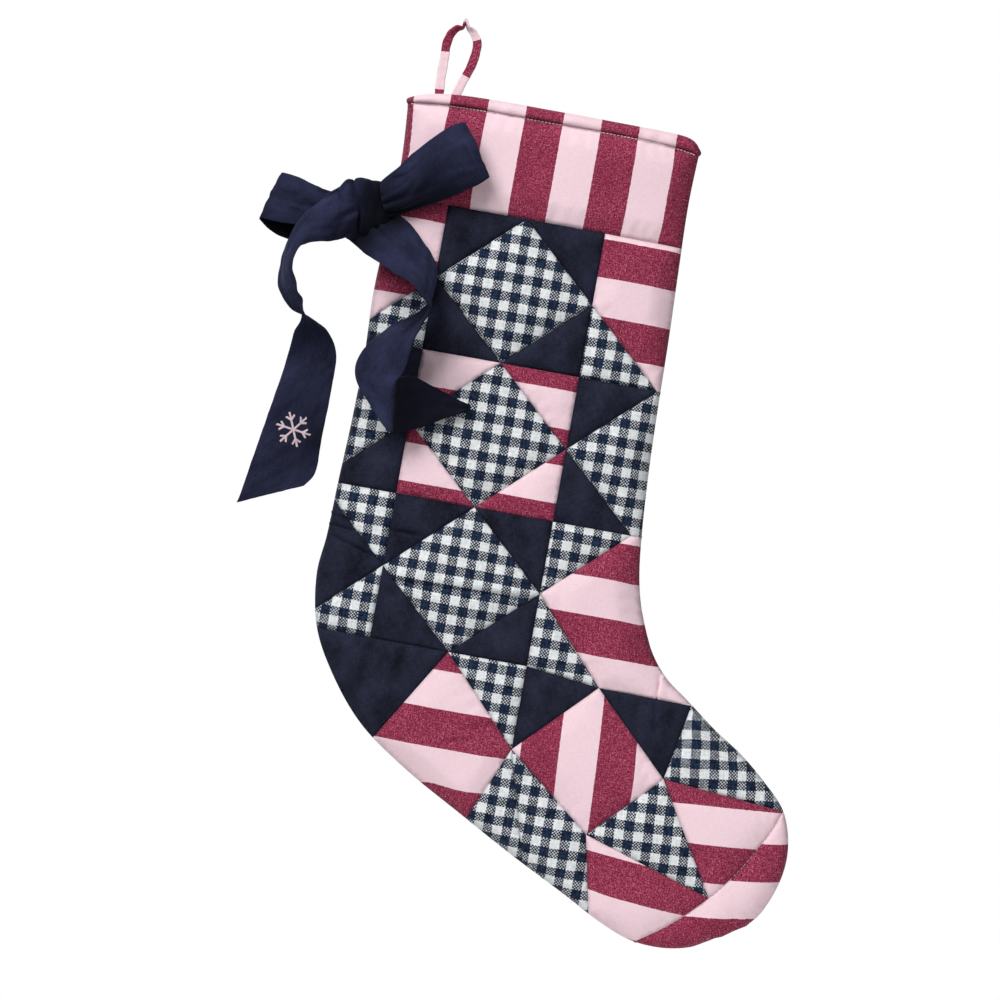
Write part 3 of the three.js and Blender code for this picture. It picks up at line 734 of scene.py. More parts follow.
# ---- Pieces.
def make_piece(name, points, faces, cloth, weave, nodes, body="stocking", thick=0.0, deep=None):
    """A smooth mesh from points in metres in place of some CAD nodes. With no body, it is attached to none.
    """
    mesh = bpy.data.meshes.new(name)
    mesh.from_pydata(points.tolist(), [], faces.tolist() if isinstance(faces, np.ndarray) else faces)
    mesh.polygons.foreach_set("use_smooth", np.ones(len(mesh.polygons), bool))
    at = np.zeros(len(mesh.loops), np.int32)
    mesh.loops.foreach_get("vertex_index", at)
    layer = mesh.uv_layers.new(name="weave")
    layer.data.foreach_set("uv", np.asarray(weave, np.float32)[at].ravel())
    # `deep`, where given, is painted shade that the ribbon material darkens by.
    if deep is not None:
        mesh.attributes.new("deep", "FLOAT", "POINT").data.foreach_set("value", deep.ravel())
    piece = placed_in_scene(name, mesh)
    slot, material = MATERIALS[cloth]
    mesh.materials.append(material)
    if thick:
        thicken(piece, thick)
    if body:
        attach(piece, body)
    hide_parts(*nodes)
    return piece


def thicken(piece, thick):
    """Gives a sheet its thickness, away from the side that its faces face."""
    solid = piece.modifiers.new("thickness", "SOLIDIFY")
    solid.thickness = thick * MM
    solid.offset = -1
    solid.use_quality_normals = True
    whole = bpy.data.meshes.new_from_object(piece.evaluated_get(bpy.context.evaluated_depsgraph_get()))
    piece.modifiers.clear()
    piece.data = whole


# ---- The two quilted sides.
# Creases in the front of the quilt: the ends of each in (s, t), its depth and half its width.
CREASES = [
    ((44, -300), (100, -298), 3.2, 1.5),
    ((96, -298), (138, -296), 3.4, 1.5),
    ((37.5, -270), (58, -269), 2.4, 1.3),
    ((0, -279), (34, -289), 2.6, 1.3),
    ((-1, -272.5), (17, -275), 2.0, 1.1),
    ((-1, -267), (12, -268), 1.6, 1.0),
    ((20, -340), (23, -378), 2.4, 2.4),
    ((38, -340), (41, -374), 2.4, 2.6),
    ((60, -340), (58, -366), 2.2, 2.4),
    ((222, -322), (221, -347), 1.8, 1.0),
    ((221, -347), (224, -372), 1.4, 1.2),
    ((104, -384), (132, -377), 1.8, 1.6),
    ((92, -396), (112, -389), 1.4, 1.6),
    ((118, -290), (134, -288), 1.6, 1.1),
    ((112, -250), (116, -268), 1.4, 1.0),
]


# The lip above a crease: how far from it and how wide, over the crease's half width, and how high,
# over its depth. Then how deep a crease may go, and how much wadding stays under it.
LIP_AWAY = 2.0
LIP_WIDTH = 1.3
LIP_HEIGHT = 0.7
CREASE_ROOM = 2.7
WADDING_ROOM = 2.9


def square_across(start, end):
    """The unit direction square to a segment, to the left of it."""
    return unit(np.array([start[1] - end[1], end[0] - start[0]], float))


def crease_lines():
    """Lines along the bottom and both lips of every crease, for the net to follow."""
    lines = []
    for start, end, _, width in CREASES:
        aside = square_across(start, end) * width
        lines += [np.array([start, end]) + aside * k for k in (-2.2, -0.9, 0, 0.9, 2.2)]
    return lines


def pressed(points, flat):
    """Pushes the creases into the front of the quilt as far as its wadding lets them, each with a soft
    lip above it."""
    unpressed = points[:, 1]
    points = points.copy()
    for start, end, depth, width in CREASES:
        along, beyond = beside(flat, start, end)
        off = (flat - start) @ square_across(start, end)
        fade = np.sqrt(np.minimum(1, 5 * along * (1 - along) + 0.02))
        points[:, 1] += depth * fade * np.exp(-(beyond / width) ** 2)
        lip = np.exp(-((off - LIP_AWAY * width) / (LIP_WIDTH * width)) ** 2) * (beyond < 4 * width)
        points[:, 1] -= LIP_HEIGHT * depth * fade * lip
    to_edge = distance_to([SEAM_LINE], flat)
    padding = np.maximum(outer_depth(to_edge) - CREASE_ROOM, inner_depth(to_edge) + WADDING_ROOM)
    points[:, 1] = np.minimum(points[:, 1], np.maximum(-padding, unpressed))
    return points


LUMP_HEIGHT = 0.45
PUCKER_HEIGHT = 0.75
PUCKER_REACH = 24


def puckers(flat, seams):
    """Small gathers that start at every seam, run away from it and fade out."""
    total = LUMP_HEIGHT * ripples(level(flat), 34, 3)
    for number, (a, b) in enumerate(seams):
        length = np.linalg.norm(b - a)
        along = np.clip((flat - a) @ (b - a) / length, 0, length)
        away = np.linalg.norm(flat - a - along[:, None] * (b - a) / length, axis=1)
        near = np.flatnonzero(away < PUCKER_REACH)
        lines = np.column_stack([along, away / 5, 0 * along])[near]
        fade = np.exp(-away[near] / 8) * away[near] / (away[near] + 1.5)
        total[near] += PUCKER_HEIGHT * fade * ripples(lines, 6.5, number)
    return total


def sewn_side(side, patches):
    """(flat points, points in space, triangles) of one side, puffed between its seams.

    The side is -1 in front and 1 behind."""
    outline = panel_outline()
    seams = seam_lines([polygon for _, polygon in patches.values()])
    flat, faces = cloth_net(outline, seams + (crease_lines() if side < 0 else []))
    to_edge = distance_to([SEAM_LINE], flat)
    rim = np.vstack([outline, outline[:1]])
    to_seam = distance_to([rim, *seams], flat)
    ditch = DITCH * (1 - np.minimum(to_seam, DITCH_WIDTH) / DITCH_WIDTH) ** 2
    depth = outer_depth(to_edge) - ditch * np.minimum(1, to_edge / DITCH_WIDTH)
    points = np.column_stack([flat[:, 0], side * depth, flat[:, 1]])
    if side > 0:
        faces = faces[:, ::-1]
    points = puffed(points, faces, to_seam < 0.05)
    points[:, 1] += side * puckers(flat, seams) * np.minimum(1, to_edge / 10)
    return flat, points, faces


def cut_out(points, faces, chosen):
    """The chosen faces of a net, drawn in slightly at the cut: (points, faces, their places in the net)."""
    used, local = np.unique(faces[chosen], return_inverse=True)
    local = local.reshape(-1, 3)
    part = points[used].copy()
    edges = np.sort(np.vstack([local[:, [0, 1]], local[:, [1, 2]], local[:, [2, 0]]]), axis=1)
    once, times = np.unique(edges, axis=0, return_counts=True)
    rim = np.unique(once[times == 1])
    pull = np.zeros_like(part)
    centres = part[local].mean(axis=1)
    for k in range(3):
        np.add.at(pull, local[:, k], centres - part[local[:, k]])
    pull = pull[rim]
    part[rim] += SEAM_GAP * unit(pull)
    return part, local, used


# The hem of the cuff from the topstitching over the top edge and down inside: share of the way from
# the outer face to the inner one, how far it stands proud, height over the stitches, and how far its
# ends stand out past the side seams.
HEM_PROFILE = [
    (0.0, 1.5, 0.7, 0.5),
    (0.0, 2.1, 3.0, 1.1),
    (0.12, 1.2, 5.6, 0.8),
    (0.5, 0.0, 7.1, 0.0),
    (0.92, -0.1, 5.9, -0.6),
    (1.0, -0.25, 3.4, -1.5),
    (1.0, 0.5, 0.0, -2.5),
    (1.0, 0.0, -8.0, -3.5),
    (1.0, 0.1, -24.0, -4.0),
]
HEM_ROWS = 30


def hem_rows(top, side):
    """Rows of points that carry the cuff on from its topstitched edge, round the hem and inside."""
    flat = top[:, [0, 2]]
    d = distance_to([SEAM_LINE], flat)
    outer, inner = outer_depth(d), inner_depth(d)
    full = np.minimum(1, d / 5)
    lumps = 1 + 0.4 * ripples(level(flat), 4.5, 9)
    to_end = np.minimum(flat[:, 0] - flat[0, 0], flat[-1, 0] - flat[:, 0])
    outward = np.sign(flat[:, 0] - flat[:, 0].mean()) * np.exp(-to_end / 4)
    room = (top_edge(flat[:, 0]) - stitch_line(flat[:, 0])) / max(row[2] for row in HEM_PROFILE)
    bases = [top]
    for share, proud, height, ends in HEM_PROFILE:
        depth = outer + share * (inner - outer) + proud * full * lumps
        raised = height * room if height > 0 else height
        bases.append(np.column_stack([
            top[:, 0] + ends * outward, side * np.maximum(depth, 0.12), top[:, 2] + raised]))
    bases = np.array(bases)
    shares = np.linspace(0, 1, HEM_ROWS)
    return np.array([along_curve(bases[:, column], shares) for column in range(len(top))]).transpose(1, 0, 2)


def add_cuff(side, name, flat, points, faces, chosen, nodes):
    """The striped band and its hem as one piece."""
    part, local, used = cut_out(points, faces, chosen)
    place = flat[used]
    top = np.flatnonzero(np.abs(place[:, 1] - stitch_line(place[:, 0])) < 0.05)
    top = top[np.argsort(place[top, 0])]
    rows = hem_rows(part[top], side)
    count = len(top)
    ring = np.vstack([top, len(part) + np.arange((HEM_ROWS - 1) * count).reshape(-1, count)])
    a, b, c, d = ring[:-1, :-1], ring[:-1, 1:], ring[1:, 1:], ring[1:, :-1]
    triangles = triangles_of(np.stack([a, b, c, d], axis=-1).reshape(-1, 4))
    if side > 0:
        triangles = triangles[:, ::-1]
    whole = np.vstack([part, rows[1:].reshape(-1, 3)])
    run = np.cumsum(np.linalg.norm(np.diff(rows, axis=0), axis=2), axis=0)
    hem_flat = np.stack([np.broadcast_to(rows[0, :, 0], run.shape), place[top, 1] + run], axis=-1)
    whole_flat = np.vstack([place, hem_flat.reshape(-1, 2)])
    whole_faces = np.vstack([local, triangles])
    weave = weave_place("cuff", "stripe", whole_flat)
    piece = make_piece(name, hang(whole), whole_faces, "stripe", weave, nodes, thick=CLOTH)


def add_side(side, patches, cuff_name, nodes_of):
    """All the pieces of one side, each standing for its own CAD node."""
    flat, points, faces = sewn_side(side, patches)
    if side < 0:
        points = pressed(points, flat)
    centres = flat[faces].mean(axis=1)
    free = np.ones(len(faces), bool)
    for name, (cloth, polygon) in patches.items():
        chosen = inside(np.array(polygon, float), centres) & free
        free &= ~chosen
        if name == "cuff":
            add_cuff(side, cuff_name, flat, points, faces, chosen, nodes_of(name))
            continue
        part, local, used = cut_out(points, faces, chosen)
        weave = weave_place(name, cloth, flat[used])
        piece = make_piece(f"quilt_{name}", hang(part), local, cloth, weave, nodes_of(name), thick=CLOTH)
    return flat, points


# ---- Inside: wadding and lining.
PANEL_END = 0.955
PANEL_ROWS, PANEL_COLUMNS = 90, 44


def panel_grid(inset, drop):
    """(flat points, distances to the side seams) of rows over a panel, starting `drop` below the top
    edge and drawn in from the seams, further by the toe, where the rows meet them at a slant."""
    shares = np.linspace(0, 1, PANEL_ROWS)
    start, end = (along_curve(side, shares * PANEL_END) for side in SIDES)
    width = np.linalg.norm(end - start, axis=1)[:, None, None]
    inset = (inset * (1 + 1.6 * shares**5))[:, None, None]
    stops = (0.5 - 0.5 * np.cos(np.linspace(0, math.pi, PANEL_COLUMNS)))[None, :, None]
    stops = inset / width + stops * (1 - 2 * inset / width)
    grid = start[:, None] + (end - start)[:, None] * stops
    grid[:, :, 1] += (top_edge(grid[:, :, 0]) - drop) * (1 - shares[:, None]) ** 6
    flat = grid.reshape(-1, 2)
    return flat, distance_to([SEAM_LINE], flat)


def ring_faces(rows, columns):
    """Quads round a tube whose points go ring by ring, and the numbers of its points."""
    at = np.arange(rows * columns).reshape(rows, columns)
    after = np.roll(at, -1, axis=1)
    return np.stack([at[:-1], after[:-1], after[1:], at[1:]], axis=-1).reshape(-1, 4), at


def grid_faces(rows, columns):
    """Quads over a grid of points, row by row."""
    at = np.arange(rows * columns).reshape(rows, columns)
    return np.stack([at[:-1, :-1], at[1:, :-1], at[1:, 1:], at[:-1, 1:]], axis=-1).reshape(-1, 4)


def triangles_of(quads):
    """Each quad cut into two triangles, all the first ones before all the second ones."""
    return np.vstack([quads[:, [0, 1, 2]], quads[:, [0, 2, 3]]])


def add_lining(side, name, node):
    """The off-white sheet that faces the room inside."""
    flat, d = panel_grid(inset=3.0, drop=14)
    wrinkle = 0.45 * ripples(level(flat), 24, 5 + side) * np.minimum(1, d / 20)
    points = np.column_stack([flat[:, 0], side * (inner_depth(d) + 0.75 + wrinkle), flat[:, 1]])
    faces = triangles_of(grid_faces(PANEL_ROWS, PANEL_COLUMNS))
    if side < 0:
        faces = faces[:, ::-1]
    piece = make_piece(name, hang(points), faces, "lining", flat, [node], thick=LINING_THICK)


def add_wadding(side, name, node):
    """A closed pad between the lining and the patchwork, thinner where it runs into the seams."""
    flat, d = panel_grid(inset=4.5, drop=4)
    lumps = 0.3 * ripples(level(flat), 7, 11)
    near = inner_depth(d) + 1.7
    far = np.maximum(outer_depth(d) - 3.6 + lumps, near + 0.5)
    sheets = [np.column_stack([flat[:, 0], side * depth, flat[:, 1]]) for depth in (far, near)]
    quads = grid_faces(PANEL_ROWS, PANEL_COLUMNS)
    count = len(flat)
    at = np.arange(count).reshape(PANEL_ROWS, PANEL_COLUMNS)
    loop = np.concatenate([at[0, :-1], at[:-1, -1], at[-1, :0:-1], at[:0:-1, 0]])
    after = np.roll(loop, -1)
    wall = np.stack([loop, after, after + count, loop + count], axis=-1)
    faces = np.vstack([quads, quads[:, ::-1] + count, wall])
    if side > 0:
        faces = faces[:, ::-1]
    weave = np.vstack([flat, flat])
    piece = make_piece(name, hang(np.vstack(sheets)), faces, "batting", weave, [node])


# ---- Stitches.
def stitch_mesh(middles, along, out, length, radius):
    """(points, faces, weave) of short rounded stitches that dip into the cloth at both ends."""
    reach = np.array([-1, -0.86, -0.45, 0.45, 0.86, 1]) * length / 2
    girth = np.array([0.15, 0.7, 1, 1, 0.7, 0.15]) * radius
    lift = np.array([-0.9, -0.35, 0.25, 0.25, -0.35, -0.9]) * radius
    around = np.arange(6) * math.pi / 3
    side = np.cross(along, out)
    points = (middles[:, None, None] + along[:, None, None] * reach[:, None, None]
              + out[:, None, None] * (lift[:, None] + girth[:, None] * np.sin(around))[..., None]
              + side[:, None, None] * (girth[:, None] * np.cos(around))[..., None])
    rings, spokes = len(reach), len(around)
    one, at = ring_faces(rings, spokes)
    shift = (np.arange(len(middles)) * rings * spokes)[:, None, None]
    faces = (one[None] + shift).reshape(-1, 4)
    ends = np.array([at[0, ::-1], at[-1]])
    faces = faces.tolist() + (ends[None] + shift).reshape(-1, spokes).tolist()
    weave = np.stack(np.broadcast_arrays(reach[:, None], around * radius), axis=-1).reshape(-1, 2)
    return points.reshape(-1, 3), faces, np.tile(weave, (len(middles), 1))


def stitches_along(route, out, length, pitch, radius):
    """Stitches at even steps along a route of points."""
    every = spaced(np.hstack([route, out]), pitch)
    points, out = every[:, :3], every[:, 3:]
    along = unit(np.gradient(points, axis=0))
    out = square_to(out, along)
    return stitch_mesh(points[1:-1], along[1:-1], out[1:-1], length, radius)


def joined(parts):
    """Several (points, faces, weave) as one."""
    points, faces, weave, count = [], [], [], 0
    for part_points, part_faces, part_weave in parts:
        points.append(part_points)
        faces += [[i + count for i in face] for face in part_faces]
        weave.append(part_weave)
        count += len(part_points)
    return np.vstack(points), faces, np.vstack(weave)


def surface_lookup(points, flat):
    """A way to lift (s, t) onto the quilt: the nearest points' mean depth."""
    tree = tree_of(flat)

    def depth(place):
        return np.array([np.mean([points[i, 1] for _, i, _ in tree.find_n((s, t, 0), 3)]) for s, t in place])
    return depth


def add_hem_stitches(front, back):
    """The topstitching round the hem, front and back."""
    s = np.linspace(SECTIONS[0][0][0] + 1.5, SECTIONS[0][1][0] - 1.5, 300)
    line = np.column_stack([s, stitch_line(s)])
    parts = []
    for side, depth in ((-1, front), (1, back)):
        route = np.column_stack([line[:, 0], depth(line) + side * 0.35, line[:, 1] - 0.8])
        out = np.tile([0.0, side, 0.0], (len(line), 1))
        parts.append(stitches_along(route, out, 1.8, 2.3, 0.4))
    points, faces, weave = joined(parts)
    make_piece("hem_stitches", hang(points), faces, "thread", weave, ["cuff_topstitch"])


def add_cap_stitches(front):
    """The pale stitches beside the seam of the toe cap."""
    line = along_curve(toe_cap_seam(0, 1), np.linspace(0, 1, 120))
    line = line[inside(panel_outline(), line)][4:-4]
    route = np.column_stack([line[:, 0], front(line) - 0.1, line[:, 1]])
    out = np.tile([0.0, -1.0, 0.0], (len(line), 1))
    points, faces, weave = stitches_along(route, out, 1.6, 3.1, 0.17)
    make_piece("toe_cap_stitches", hang(points), faces, "thread", weave, [])


# ---- The bow. Each station of a ribbon gives its two edges as seen from the front (x, z), the depth of
# its middle, how it leans (+1 puts the first edge behind the second), how far its cross-section arches
# towards the front where it leaves the knot, and its width if it is not full.
RIBBON_WIDTH = 38.0
RIBBON_THICK = 0.9
KNOT_CENTRE = np.array([-61.0, -17.0, -114.0])
TAIL_LEFT = [
    (-3, 14, -8, -17, -6, 0, 6),
    (-8, 15, -14, -20, -8, 0, 6.5),
    (-16, 11.5, -20, -21.5, -10, 0.1, 6.5),
    (-26, 4, -28, -22.5, -14, 0.4, 5.5),
    (-36, -4, -35.5, -24, -18, 0.7, 4),
    (-43.5, -14.5, -40.5, -28, -21, 0.9, 2),
    (-51, -31, -43.5, -38, -20, 1, 1),
    (-53.5, -48, -41.5, -51, -16, 1, 1),
    (-46.5, -61, -38, -60, -10, 1, 0.5),
    (-36, -68, -38, -69, -5, 1, 0),
    (-25, -76, -43.5, -80, -3, 0.7, -0.5),
    (-17.7, -91, -49, -98, -3, 0.3, -1),
    (-20, -112, -58, -124, -4, 0, -1),
    (-26.5, -145, -69.5, -157, -4, 0, -1),
    (-31, -167, -77.5, -180, -4, 0, -1),
    (-37.5, -174, -79.5, -184.5, -4, 0, -1),
]
TAIL_RIGHT = [
    (18, -1, -12, -17, 3, 0, 1),
    (29, -11, 1, -29, -5, 0.3, 3),
    (39, -24, 18, -41, -15, 0.7, 2.5),
    (45, -36, 31, -50, -20, 0.8, 1.5),
    (45, -47, 36, -56, -22, 0.9, 1),
    (40, -61, 42, -65, -22, 0.9, 0.5),
    (24, -71, 36, -76, -21, 0.9, 0.5),
    (11, -79, 30, -89, -18, 0.8, -1.5),
    (-1, -90, 25, -103, -14, 0.6, -2),
    (-6, -104, 21, -110, -14, 0.6, -1),
    (2, -121, 20, -111, -18, 0.5, 0),
    (17, -141, 20, -110, -23, 0.3, 0),
    (21.5, -141, 23, -107, -20.5, 0.45, 0),
    (37, -137, 30, -106, -12, 0.6, 2),
    (51, -132, 43, -112, -8, 0.3, 1, 22),
    (67, -127, 66, -124, -6, 0, 0, 3),
]
LOOP_RIGHT = [
    (10, 15, 14, -6, -2, -0.3, 5),
    (26, 28, 31, -1, -7, -0.6, 8),
    (42, 41, 53, 5.5, -12, -0.6, 10),
    (56, 50, 69, 12.5, -15, -0.3, 7),
    (63, 52, 78, 18, -11, 0, 1),
    (56, 49, 69, 13, -3, 0, 1),
    (42, 39, 52, 8, 1, 0.2, 1),
    (26, 25, 31, 2, 2, 0.2, 1),
    (12, 12, 14, -2, 3, 0, 1),
]
LOOP_LEFT = [
    (-12, 8, -12, -8, -1, 0, 0),
    (-26, 12, -31, -11, 0, 0.3, 1),
    (-41, 19, -51, -10, -2, 0.3, 3),
    (-52, 22.5, -64.5, -7, 4, 0.4, 1),
    (-44, 18, -55, -16, 13, 0.6, 1),
    (-28, 11, -38, -20, 11, 0.4, 1),
    (-12, 6, -12, -9, 5, 0, 0),
]
# For each run of ribbon, painted shade from station to station, as (station, first edge, second edge): dark
# where the knot shades the ribbon and where the ribbon turns away from the light. Then its pressed creases:
# start and end as (along, across) millimetres, depth and width.
TAIL_LEFT_PAINTED_SHADE = [
    (0, 0.6, 0.7), (1.5, 0.1, 0.5), (3, 0, 0.2), (7, 0.1, 0.2), (9, 0.6, 0.6), (11, 0.45, 0.2),
    (13, 0.6, 0.3), (15, 0.1, 0.5),
]
TAIL_LEFT_FOLDS = [((150, 8), (230, 12), 0.8, 1.2), ((20, 12), (64, 20), 0.8, 2.0)]
TAIL_RIGHT_PAINTED_SHADE = [
    (0, 1, 1), (0.7, 0.8, 0.7), (1.5, 0.15, 0.1), (4, 0.1, 0.4), (5.5, 0.8, 0.8), (6.5, 0.1, 0.2),
    (10.6, 0, 0.1), (11.4, 0.95, 0.95), (15, 0.75, 0.75),
]
TAIL_RIGHT_FOLDS = [((30, 16), (80, 22), 0.9, 2.0)]
LOOP_RIGHT_PAINTED_SHADE = [
    (0, 0.5, 1), (0.8, 0.15, 0.95), (2, 0.25, 0.8), (3.3, 0, 0.3), (4.5, 0.3, 0.6), (8, 0.9, 0.9),
]
LOOP_RIGHT_FOLDS = [
    ((2, 14), (46, 9), 1.6, 2.2), ((4, 22), (40, 27), 1.3, 2.0), ((58, 4), (64, 34), 0.8, 1.2),
]
LOOP_LEFT_PAINTED_SHADE = [(0, 0.7, 0.8), (1.2, 0.1, 0.3), (2.5, 0.2, 0.4), (3.5, 0.7, 0.8), (6, 0.9, 0.9)]
LOOP_LEFT_FOLDS = [((6, 20), (50, 14), 1.8, 2.2)]
LOOPS = {
    "loop_right": (LOOP_RIGHT, 1, 3.0, LOOP_RIGHT_PAINTED_SHADE, LOOP_RIGHT_FOLDS),
    "loop_left": (LOOP_LEFT, 2, 1.5, LOOP_LEFT_PAINTED_SHADE, LOOP_LEFT_FOLDS),
}
RIBBON_STEPS = 220
RIBBON_ACROSS = 34
PLEAT_REACH = 30.0
PLEAT_HEIGHT = 1.9
ROLL_HEIGHT = 0.75
SLANT_HEIGHT = 0.4
FINE_HEIGHT = 0.12
FINE_HEIGHT_AT_KNOT = 0.5


def ribbon_grid(stations):
    """(steps, across, 3) points of a ribbon from the knot outwards, and its arch at every step."""
    rows = np.array([list(s) + [RIBBON_WIDTH] * (8 - len(s)) for s in stations], float)
    ax, az, bx, bz, depth, lean, arch, width = rows.T
    half = lean * np.sqrt(np.maximum(0, width**2 - (bx - ax) ** 2 - (bz - az) ** 2)) / 2
    shares = np.linspace(0, 1, RIBBON_STEPS)
    first = along_curve(np.column_stack([ax, depth + half, az]), shares)
    second = along_curve(np.column_stack([bx, depth - half, bz]), shares)
    v = np.linspace(0, 1, RIBBON_ACROSS)[None, :, None]
    arches = np.interp(shares * (len(rows) - 1), np.arange(len(rows)), arch)
    return first[:, None] * (1 - v) + second[:, None] * v, arches


def grid_normals(grid):
    return unit(np.cross(np.gradient(grid, axis=1), np.gradient(grid, axis=0)))


def gathers(flat, from_knot, seed, pleats):
    """Height of the pleats that fan out of the knot and of the soft creases of worn ribbon."""
    shape = from_knot.shape + (RIBBON_ACROSS,)
    lifted = level(flat)
    rolls = ripples(lifted / (2.4, 1, 1), 12, seed).reshape(shape)
    slanting = lifted @ np.array([[1, 0.6, 0], [-0.6, 1, 0], [0, 0, 1]])
    slant = ripples(slanting / (1, 3.5, 1), 7, seed + 40).reshape(shape)
    fine = ripples(lifted / (6, 1, 1), 4, seed + 20).reshape(shape)
    v = np.linspace(0, 1, RIBBON_ACROSS)[None]
    fan = np.sin(2 * math.pi * (pleats * v + 0.5 * rolls) + seed)
    near = np.exp(-from_knot / PLEAT_REACH)[:, None]
    worn = ROLL_HEIGHT * rolls + SLANT_HEIGHT * slant + FINE_HEIGHT * fine
    return near * (PLEAT_HEIGHT * fan + FINE_HEIGHT_AT_KNOT * fine) + worn


def fold_lines(flat, folds):
    """Depth of pressed creases: start and end as (along, across) millimetres, depth and width."""
    depth = np.zeros(len(flat))
    for start, end, deep, wide in folds:
        share, away = beside(flat, start, end)
        depth += deep * np.exp(-(away / wide) ** 2) * np.minimum(1, 4 * share * (1 - share) + 0.3)
    return depth


def add_ribbon(name, stations, body, node, seed, pleats, deep, folds=(), looped=False):
    """One run of ribbon. `deep` gives, from station to station, how much painted shade darkens its colour
    along its first and second edges. Returns the piece and the grid of its middle surface, in knot
    millimetres."""
    grid, arches = ribbon_grid(stations)
    normals = grid_normals(grid)
    forward = -np.sign(normals[: RIBBON_STEPS // 10, :, 1].mean())
    middle = grid[:, RIBBON_ACROSS // 2]
    run = length_along(middle)
    v = np.linspace(0, 1, RIBBON_ACROSS)
    flat = np.stack(np.broadcast_arrays(run[:, None], v * RIBBON_WIDTH), axis=-1).reshape(-1, 2)
    height = forward * arches[:, None] * (1 - (2 * v - 1) ** 2)[None]
    from_knot = np.minimum(run, run[-1] - run) if looped else run
    height += gathers(flat, from_knot, seed, pleats) - forward * fold_lines(flat, folds).reshape(height.shape)
    grid = grid + normals * height[..., None]
    points = (grid + grid_normals(grid) * RIBBON_THICK / 2).reshape(-1, 3)
    faces = triangles_of(grid_faces(*grid.shape[:2]))[:, ::-1]
    placed = (points + KNOT_CENTRE) * MM
    weave = flat[:, ::-1]
    # Painted shade, from station to station and from edge to edge.
    at = np.linspace(0, len(stations) - 1, RIBBON_STEPS)
    where, first, second = np.array(deep, float).T
    edges = [np.interp(at, where, edge)[:, None] for edge in (first, second)]
    shade = edges[0] + (edges[1] - edges[0]) * v
    piece = make_piece(name, placed, faces, "ribbon", weave, [node], body, RIBBON_THICK, shade)
    return piece, grid


# The knot: half its size each way, how its depth leans with x and z, how far it hangs below its centre, and
# its creases: (place across, depth, width). Painted shade darkens it towards its lower right, away from the
# light, as KNOT_PAINTED_SHADE_AT says.
KNOT_RADII = (17.0, 11.5, 19.5)
KNOT_ROWS, KNOT_COLUMNS = 120, 150
KNOT_TURN = (0.42, -0.28)
KNOT_DROP = -1.5
KNOT_CREASES = [(-3.0, 2.8, 1.4), (8.0, 0.8, 2.5)]
KNOT_PAINTED_SHADE_AT = ((-12, -4, -1, 12), (0.25, 0.55, 0.8, 0.95))


def add_knot():
    """The band wrapped round the middle of the bow, with a few creases running down its front."""
    rows, columns = KNOT_ROWS, KNOT_COLUMNS
    x = np.sin(np.linspace(-math.pi / 2, math.pi / 2, rows))[:, None]
    turn = np.linspace(0, 2 * math.pi, columns, endpoint=False)[None]
    end = (1 - np.abs(x) ** 3.0) ** (1 / 3.0) * 0.9 + 0.1
    end[[0, -1]] = 0.02

    def squarer(value):
        return np.sign(value) * np.abs(value) ** 0.85
    y = squarer(-np.cos(turn)) * KNOT_RADII[1] * end
    z = squarer(np.sin(turn)) * KNOT_RADII[2] * end
    points = np.stack(np.broadcast_arrays(x * KNOT_RADII[0], y, z), axis=-1)
    flat = points.reshape(-1, 3)
    sway = ripples(flat, 18, 2).reshape(rows, columns)
    place = x * KNOT_RADII[0] + 0.12 * points[..., 2] + 2.2 * sway
    fade = 1 - np.abs(x) ** 6
    height = 0.7 * sway + 0.3 * ripples(flat / (1, 1, 3), 4, 3).reshape(rows, columns)
    for middle, deep, wide in KNOT_CREASES:
        height = height - deep * np.exp(-((place - middle) / wide) ** 2)
    outward = unit(points / np.array(KNOT_RADII) ** 2)
    points = points + outward * (height * fade)[..., None] + (0, 0, KNOT_DROP)
    points[..., 1] += KNOT_TURN[0] * points[..., 0] + KNOT_TURN[1] * points[..., 2]
    quads, at = ring_faces(rows, columns)
    faces = quads[:, [0, 3, 2, 1]].tolist() + [at[0].tolist(), at[-1, ::-1].tolist()]
    weave = np.stack(np.broadcast_arrays(x * KNOT_RADII[0], turn * 16), axis=-1).reshape(-1, 2)
    placed = (points.reshape(-1, 3) + KNOT_CENTRE) * MM
    # Painted shade: the knot darkens towards its lower right, the side away from the light.
    deep = np.interp(points[..., 0] - 0.25 * points[..., 2], *KNOT_PAINTED_SHADE_AT)
    make_piece("knot_band", placed, faces, "ribbon", weave, ["bow_knot"], body="bow", deep=deep)


SNOWFLAKE = {
    "place": (-44.0, -139.0),
    "turn": math.radians(18),
    "radius": 11.0,
    "feather_at": 0.55,
    "feather_length": 0.36,
    "width": 1.5,
    "pitch": 0.33,
    "slant": math.radians(68),
    "thread_radius": 0.24,
}


